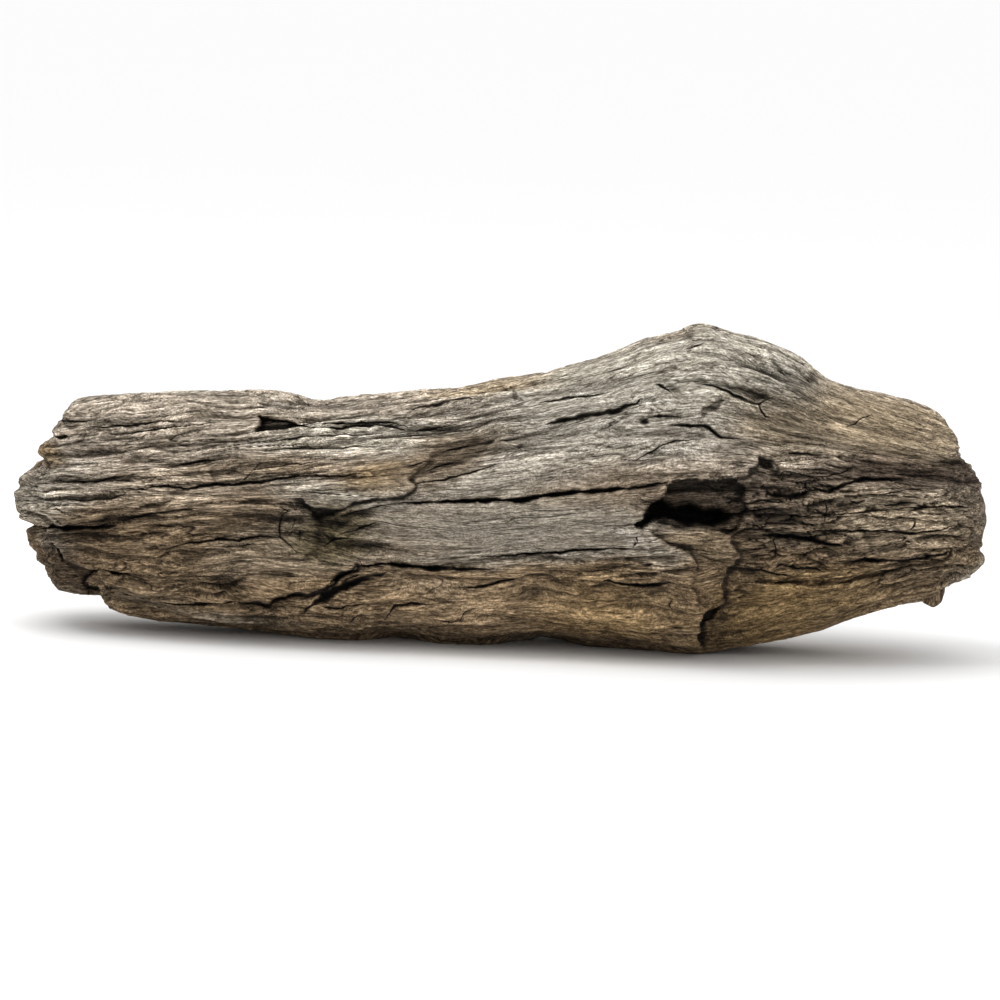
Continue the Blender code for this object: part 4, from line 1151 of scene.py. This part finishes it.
def logSurface():   # every point of the log in a grid, ring by ring from left to right
    rings, columns = log["rings"], log["columns"]
    turn = 2 * math.pi * np.arange(columns) / columns
    turn = np.where(turn > math.pi, turn - 2 * math.pi, turn)
    angle = turn - log["frontCrowding"] * np.sin(turn)
    x, angle = np.meshgrid(ringStations(rings + 1), -angle, indexing="ij")
    shape = x.shape
    y, b = plainSurface(x.ravel(), angle.ravel())
    y, b = y.reshape(shape), b.reshape(shape)
    normal = surfaceNormals(x, y, (b - y * leanSin) / leanCos).reshape(-1, 3)
    x, y, b = x.ravel(), y.ravel(), b.ravel()
    z = (b - y * leanSin) / leanCos
    print("log: plain shape", len(x))

    facing = normal[:, 2] * leanSin - normal[:, 1] * leanCos
    front = smooth(0.05, 0.45, facing)
    back = smooth(0.05, 0.45, normal[:, 1])
    top = smooth(0.8, 0.92, normal[:, 2])
    under = restShare(x, y) * smooth(-0.5, -0.85, normal[:, 2])
    rim = smooth(0.5, 0.1, np.abs(facing))
    coarse, fine, xw, fw, calm, toneAndGapShade = grainHeight(x, y, b, front)
    keep = (0.35 + 0.65 * endShare(x)) * (1 - under)
    finely = smooth(0.2, 1.0, endShare(x)) * (1 - under)
    relief = np.maximum(coarse, 0) * (1 - 0.85 * rim) + np.minimum(coarse, 0) * (1 - 0.4 * rim)
    relief = relief * keep + fine * finely * (1 - 0.5 * rim)

    tornX, tornB = ragged(x, b, y)
    deep = np.zeros_like(x)
    for region in regions:
        deep += regionHeight(tornX, tornB, region)
    carved = shelfHeight(tornX, tornB) + deep
    for ledge in ledges:
        carved += ledgeHeight(tornX, tornB, ledge)
    for ridge in ridges:
        carved += ridgeHeight(x, b, ridge)
    for hollow in hollows:
        carved += hollowHeight(x, b, hollow)
    jagged = 0.5 * gradientNoise(x / 6, b / 3, y / 8, log["seed"] + 34)
    jagged += 0.25 * gradientNoise(x / 2, b / 2, y / 4, log["seed"] + 35)
    groove, across, nearness = crackHeight(x, b + jagged, cracks)
    carved = (carved + groove) * front
    far = np.zeros_like(x)
    for ledge in backLedges:
        far += ledgeHeight(tornX, z + tornB - b, ledge)
    for hollow in backHollows:
        far += hollowHeight(x, z, hollow)
    backGroove, backAcross, backNearness = crackHeight(x, z + jagged, backCracks)
    topGroove, topAcross, topNearness = crackHeight(x, y + jagged, topCracks)
    relief += (far + backGroove) * back + topGroove * top
    print("log: relief")

    px = x + normal[:, 0] * relief + brokenEnd(x, y, b) * smooth(0.95, 0.7, np.abs(normal[:, 2]))
    py = y + normal[:, 1] * relief - carved * leanCos
    pz = z + normal[:, 2] * relief + carved * leanSin
    floor = pz.min() + log["restWear"]
    worn = restShare(px, py)
    pz = np.maximum(pz, floor)
    pz -= (pz - floor) * worn * smooth(4.2, 2.6, pz - floor)
    pz += 0.4 * smooth(0.5, 0.2, worn) * smooth(1, 0, pz - floor)
    points = np.stack([px, py, pz], axis=1).reshape(*shape, 3)
    points[0], points[-1] = points[0].mean(axis=0), points[-1].mean(axis=0)
    low, high = points.min(axis=(0, 1)), points.max(axis=(0, 1))
    shift = np.array([-(low[0] + high[0]) / 2, -(low[1] + high[1]) / 2, -low[2]])

    # painted light and shade: raised ridges are painted lighter and hollows between the fibres darker; broad
    # hollows and the deepest carved parts, such as the cavity, are painted darker still; the painted shade in
    # small hollows is browner; the grain's random tone and painted gap shade are multiplied in as well
    height = (carved * 0.8 + relief).reshape(shape)
    spacing = (x.max() - x.min()) / rings
    local = (height - blurred(height, round(1.5 / spacing), round(3 * columns / 400))).ravel()
    wide = (height - blurred(height, round(10 / spacing), round(18 * columns / 400))).ravel()
    tint = zoneColour(x, b, y, front)
    light = 1 + 0.44 * np.clip(local / 0.65, -1.6, 0.7) + 0.14 * np.clip(wide / 3, -2, 1)
    # painted shade: broad hollows and the deep carved regions are darkened
    paintedHollowShade = smooth(-0.6, -3.0, wide) * 0.22 + smooth(8, 20, -deep) * front
    light *= (1 - np.clip(paintedHollowShade, 0, 1) * 0.75) * (1 + toneAndGapShade)
    tint *= np.clip(light, 0.08, 1.6)[:, None]
    tint *= 1 - smooth(0.2, -0.9, local)[:, None] * np.array([0.0, 0.04, 0.09])

    across = np.where(front > 0.4, across, np.where(back > 0.4, backAcross, np.where(top > 0.4, topAcross, 3)))
    nearness = np.where(front > 0.4, nearness, np.where(back > 0.4, backNearness, topNearness * (top > 0.4)))
    values = {
        "place": (points + shift) * mm,
        "normal": surfaceNormals(points[..., 0], points[..., 1], points[..., 2]),
        "tint": np.concatenate([tint, np.ones((len(x), 1))], axis=1),
        "fibre": np.stack([xw, fw, y], axis=1),
        "crack": np.stack([across, nearness, calm], axis=1),
    }
    print("log: colours")
    return {name: value.reshape(*shape, -1) for name, value in values.items()}, shift


# One length of the log, from the first ring to the last, closed at both ends
def makeLogPiece(piece, surface, first, last, material):
    rings, columns = log["rings"], log["columns"]
    stations = list(range(max(first, 1), min(last, rings - 1) + 1))
    bm = bmesh.new()
    bmesh.ops.create_uvsphere(bm, u_segments=columns, v_segments=len(stations) + 1, radius=1)
    unit = np.array([v.co for v in bm.verts], float)
    ring = np.rint(np.arccos(np.clip(unit[:, 2], -1, 1)) / math.pi * (len(stations) + 1)).astype(int)
    column = np.rint(np.arctan2(unit[:, 1], unit[:, 0]) / (2 * math.pi) * columns).astype(int) % columns
    ends = [(0, first, first == 0), (len(stations) + 1, last, last == rings)]
    source = np.clip(ring + stations[0] - 1, 0, rings)
    values = {name: value[source, column] for name, value in surface.items()}
    for pole, station, whole in ends:
        for name, value in surface.items():
            values[name][ring == pole] = value[station].mean(axis=0)
        values["normal"][ring == pole] = (1 if pole else -1, 0, 0)
    for vert, place in zip(bm.verts, values["place"]):
        vert.co = place
    if bm.calc_volume(signed=True) < 0:
        bmesh.ops.reverse_faces(bm, faces=bm.faces[:])
    bm.faces.ensure_lookup_table()
    cuts = [pole for pole, station, whole in ends if not whole]
    flat = [any(ring[v.index] in cuts for v in face.verts) for face in bm.faces]
    result = fillMesh(piece, bm, material)
    result.data.polygons.foreach_set("use_smooth", [not share for share in flat])
    result.data.normals_split_custom_set_from_vertices(values["normal"])
    addAttribute(result.data, "tint", "FLOAT_COLOR", values["tint"])
    addAttribute(result.data, "fibre", "FLOAT_VECTOR", values["fibre"])
    addAttribute(result.data, "crack", "FLOAT_VECTOR", values["crack"])
    print(piece, len(result.data.polygons))


def makeLog(material):
    surface, shift = logSurface()
    edges = [round(k * log["rings"] / log["pieces"]) for k in range(log["pieces"] + 1)]
    for k, (first, last) in enumerate(zip(edges, edges[1:])):
        makeLogPiece("driftwoodLog%d" % (k + 1), surface, first, last, material)
    return shift


# Stub of a twig under the right end
twig = {"centre": (200, -8, 32.5), "half": (5, 5, 6.5), "segments": 40}


def makeTwig(material, shift):
    bm = bmesh.new()
    segments = twig["segments"]
    bmesh.ops.create_uvsphere(bm, u_segments=segments, v_segments=segments // 2, radius=1)
    unit = np.array([v.co for v in bm.verts], float)
    bumps = 1 + 0.16 * gradientNoise(*(unit.T * 1.7 + 5), log["seed"] + 50)
    x, y, z = (unit * twig["half"] * bumps[:, None]).T
    x += 0.12 * z
    points = np.stack([x, y, z], axis=1) + twig["centre"]
    for vert, place in zip(bm.verts, (points + shift) * mm):
        vert.co = place
    result = fillMesh("driftwoodTwig", bm, material)
    count = len(points)
    tint = np.array(hexColour(woodColours["brown"]) + [1]) * np.ones((count, 1))
    addAttribute(result.data, "tint", "FLOAT_COLOR", tint)
    addAttribute(result.data, "fibre", "FLOAT_VECTOR", points[:, [2, 0, 1]])
    addAttribute(result.data, "crack", "FLOAT_VECTOR", np.array([3.0, 0, 1]) * np.ones((count, 1)))
    print("twig")


def makeFloor():
    bm = bmesh.new()
    bmesh.ops.create_grid(bm, x_segments=1, y_segments=1, size=40)
    mesh = bpy.data.meshes.new("studioFloor")
    bm.to_mesh(mesh)
    bm.free()
    result = bpy.data.objects.new("studioFloor", mesh)
    bpy.context.scene.collection.objects.link(result)
    material = bpy.data.materials.new("pale paper")   # plain backdrop paper
    material.use_nodes = True
    shader = material.node_tree.nodes["Principled BSDF"]
    shader.inputs["Base Color"].default_value = (0.9, 0.9, 0.9, 1)
    shader.inputs["Roughness"].default_value = 1
    shader.inputs["Specular IOR Level"].default_value = 0
    mesh.materials.append(material)


def makeLight(name, place, aim, size, power):
    data = bpy.data.lights.new(name, "AREA")
    data.shape = "SQUARE"
    data.size = size
    data.energy = power
    lamp = bpy.data.objects.new(name, data)
    bpy.context.scene.collection.objects.link(lamp)
    lamp.location = place
    lamp.rotation_euler = (Vector(aim) - Vector(place)).to_track_quat("-Z", "Y").to_euler()


def makeCamera(shift):
    right = Vector((1, 0, 0))
    up = Vector((0, leanSin, leanCos))
    view = Vector((0, leanCos, -leanSin))
    a, b = camera["axisPoint"]
    cos, sin = math.cos(camera["roll"]), math.sin(camera["roll"])
    place = (right * a + up * b - view * camera["distance"] + Vector(shift)) * mm
    imageRight = right * cos + up * sin
    imageUp = up * cos - right * sin
    turn = Matrix((imageRight, imageUp, -view)).transposed().to_4x4()
    data = bpy.data.cameras.new("camera")
    data.lens = camera["lens"]
    data.sensor_width = 36
    result = bpy.data.objects.new("camera", data)
    bpy.context.scene.collection.objects.link(result)
    result.matrix_world = Matrix.Translation(place) @ turn
    bpy.context.scene.camera = result


def makeWorld():   # soft light that grows towards the top of the sky
    world = bpy.data.worlds.new("studio")
    world.use_nodes = True
    tree = world.node_tree
    place = addNode(tree, "ShaderNodeTexCoord").outputs["Generated"]
    height = addNode(tree, "ShaderNodeSeparateXYZ", {}, {"Vector": place}).outputs["Z"]
    limits = {"From Min": 0.0, "From Max": 1.0, "To Min": 0.35, "To Max": 1.45}
    strength = addNode(tree, "ShaderNodeMapRange", limits, {"Value": height}).outputs["Result"]
    tree.links.new(strength, tree.nodes["Background"].inputs["Strength"])
    tree.nodes["Background"].inputs["Color"].default_value = (1, 1, 1, 1)
    bpy.context.scene.world = world
    bpy.context.scene.view_settings.view_transform = "Standard"


makeWorld()
wood = weatheredWood()
layoutShift = makeLog(wood)
makeTwig(wood, layoutShift)
makeFloor()
makeLight("softTop", (-0.5, -0.25, 1.4), (0, 0, 0.05), 0.8, 9)
makeCamera(layoutShift)
print("stage: floor, light and camera")
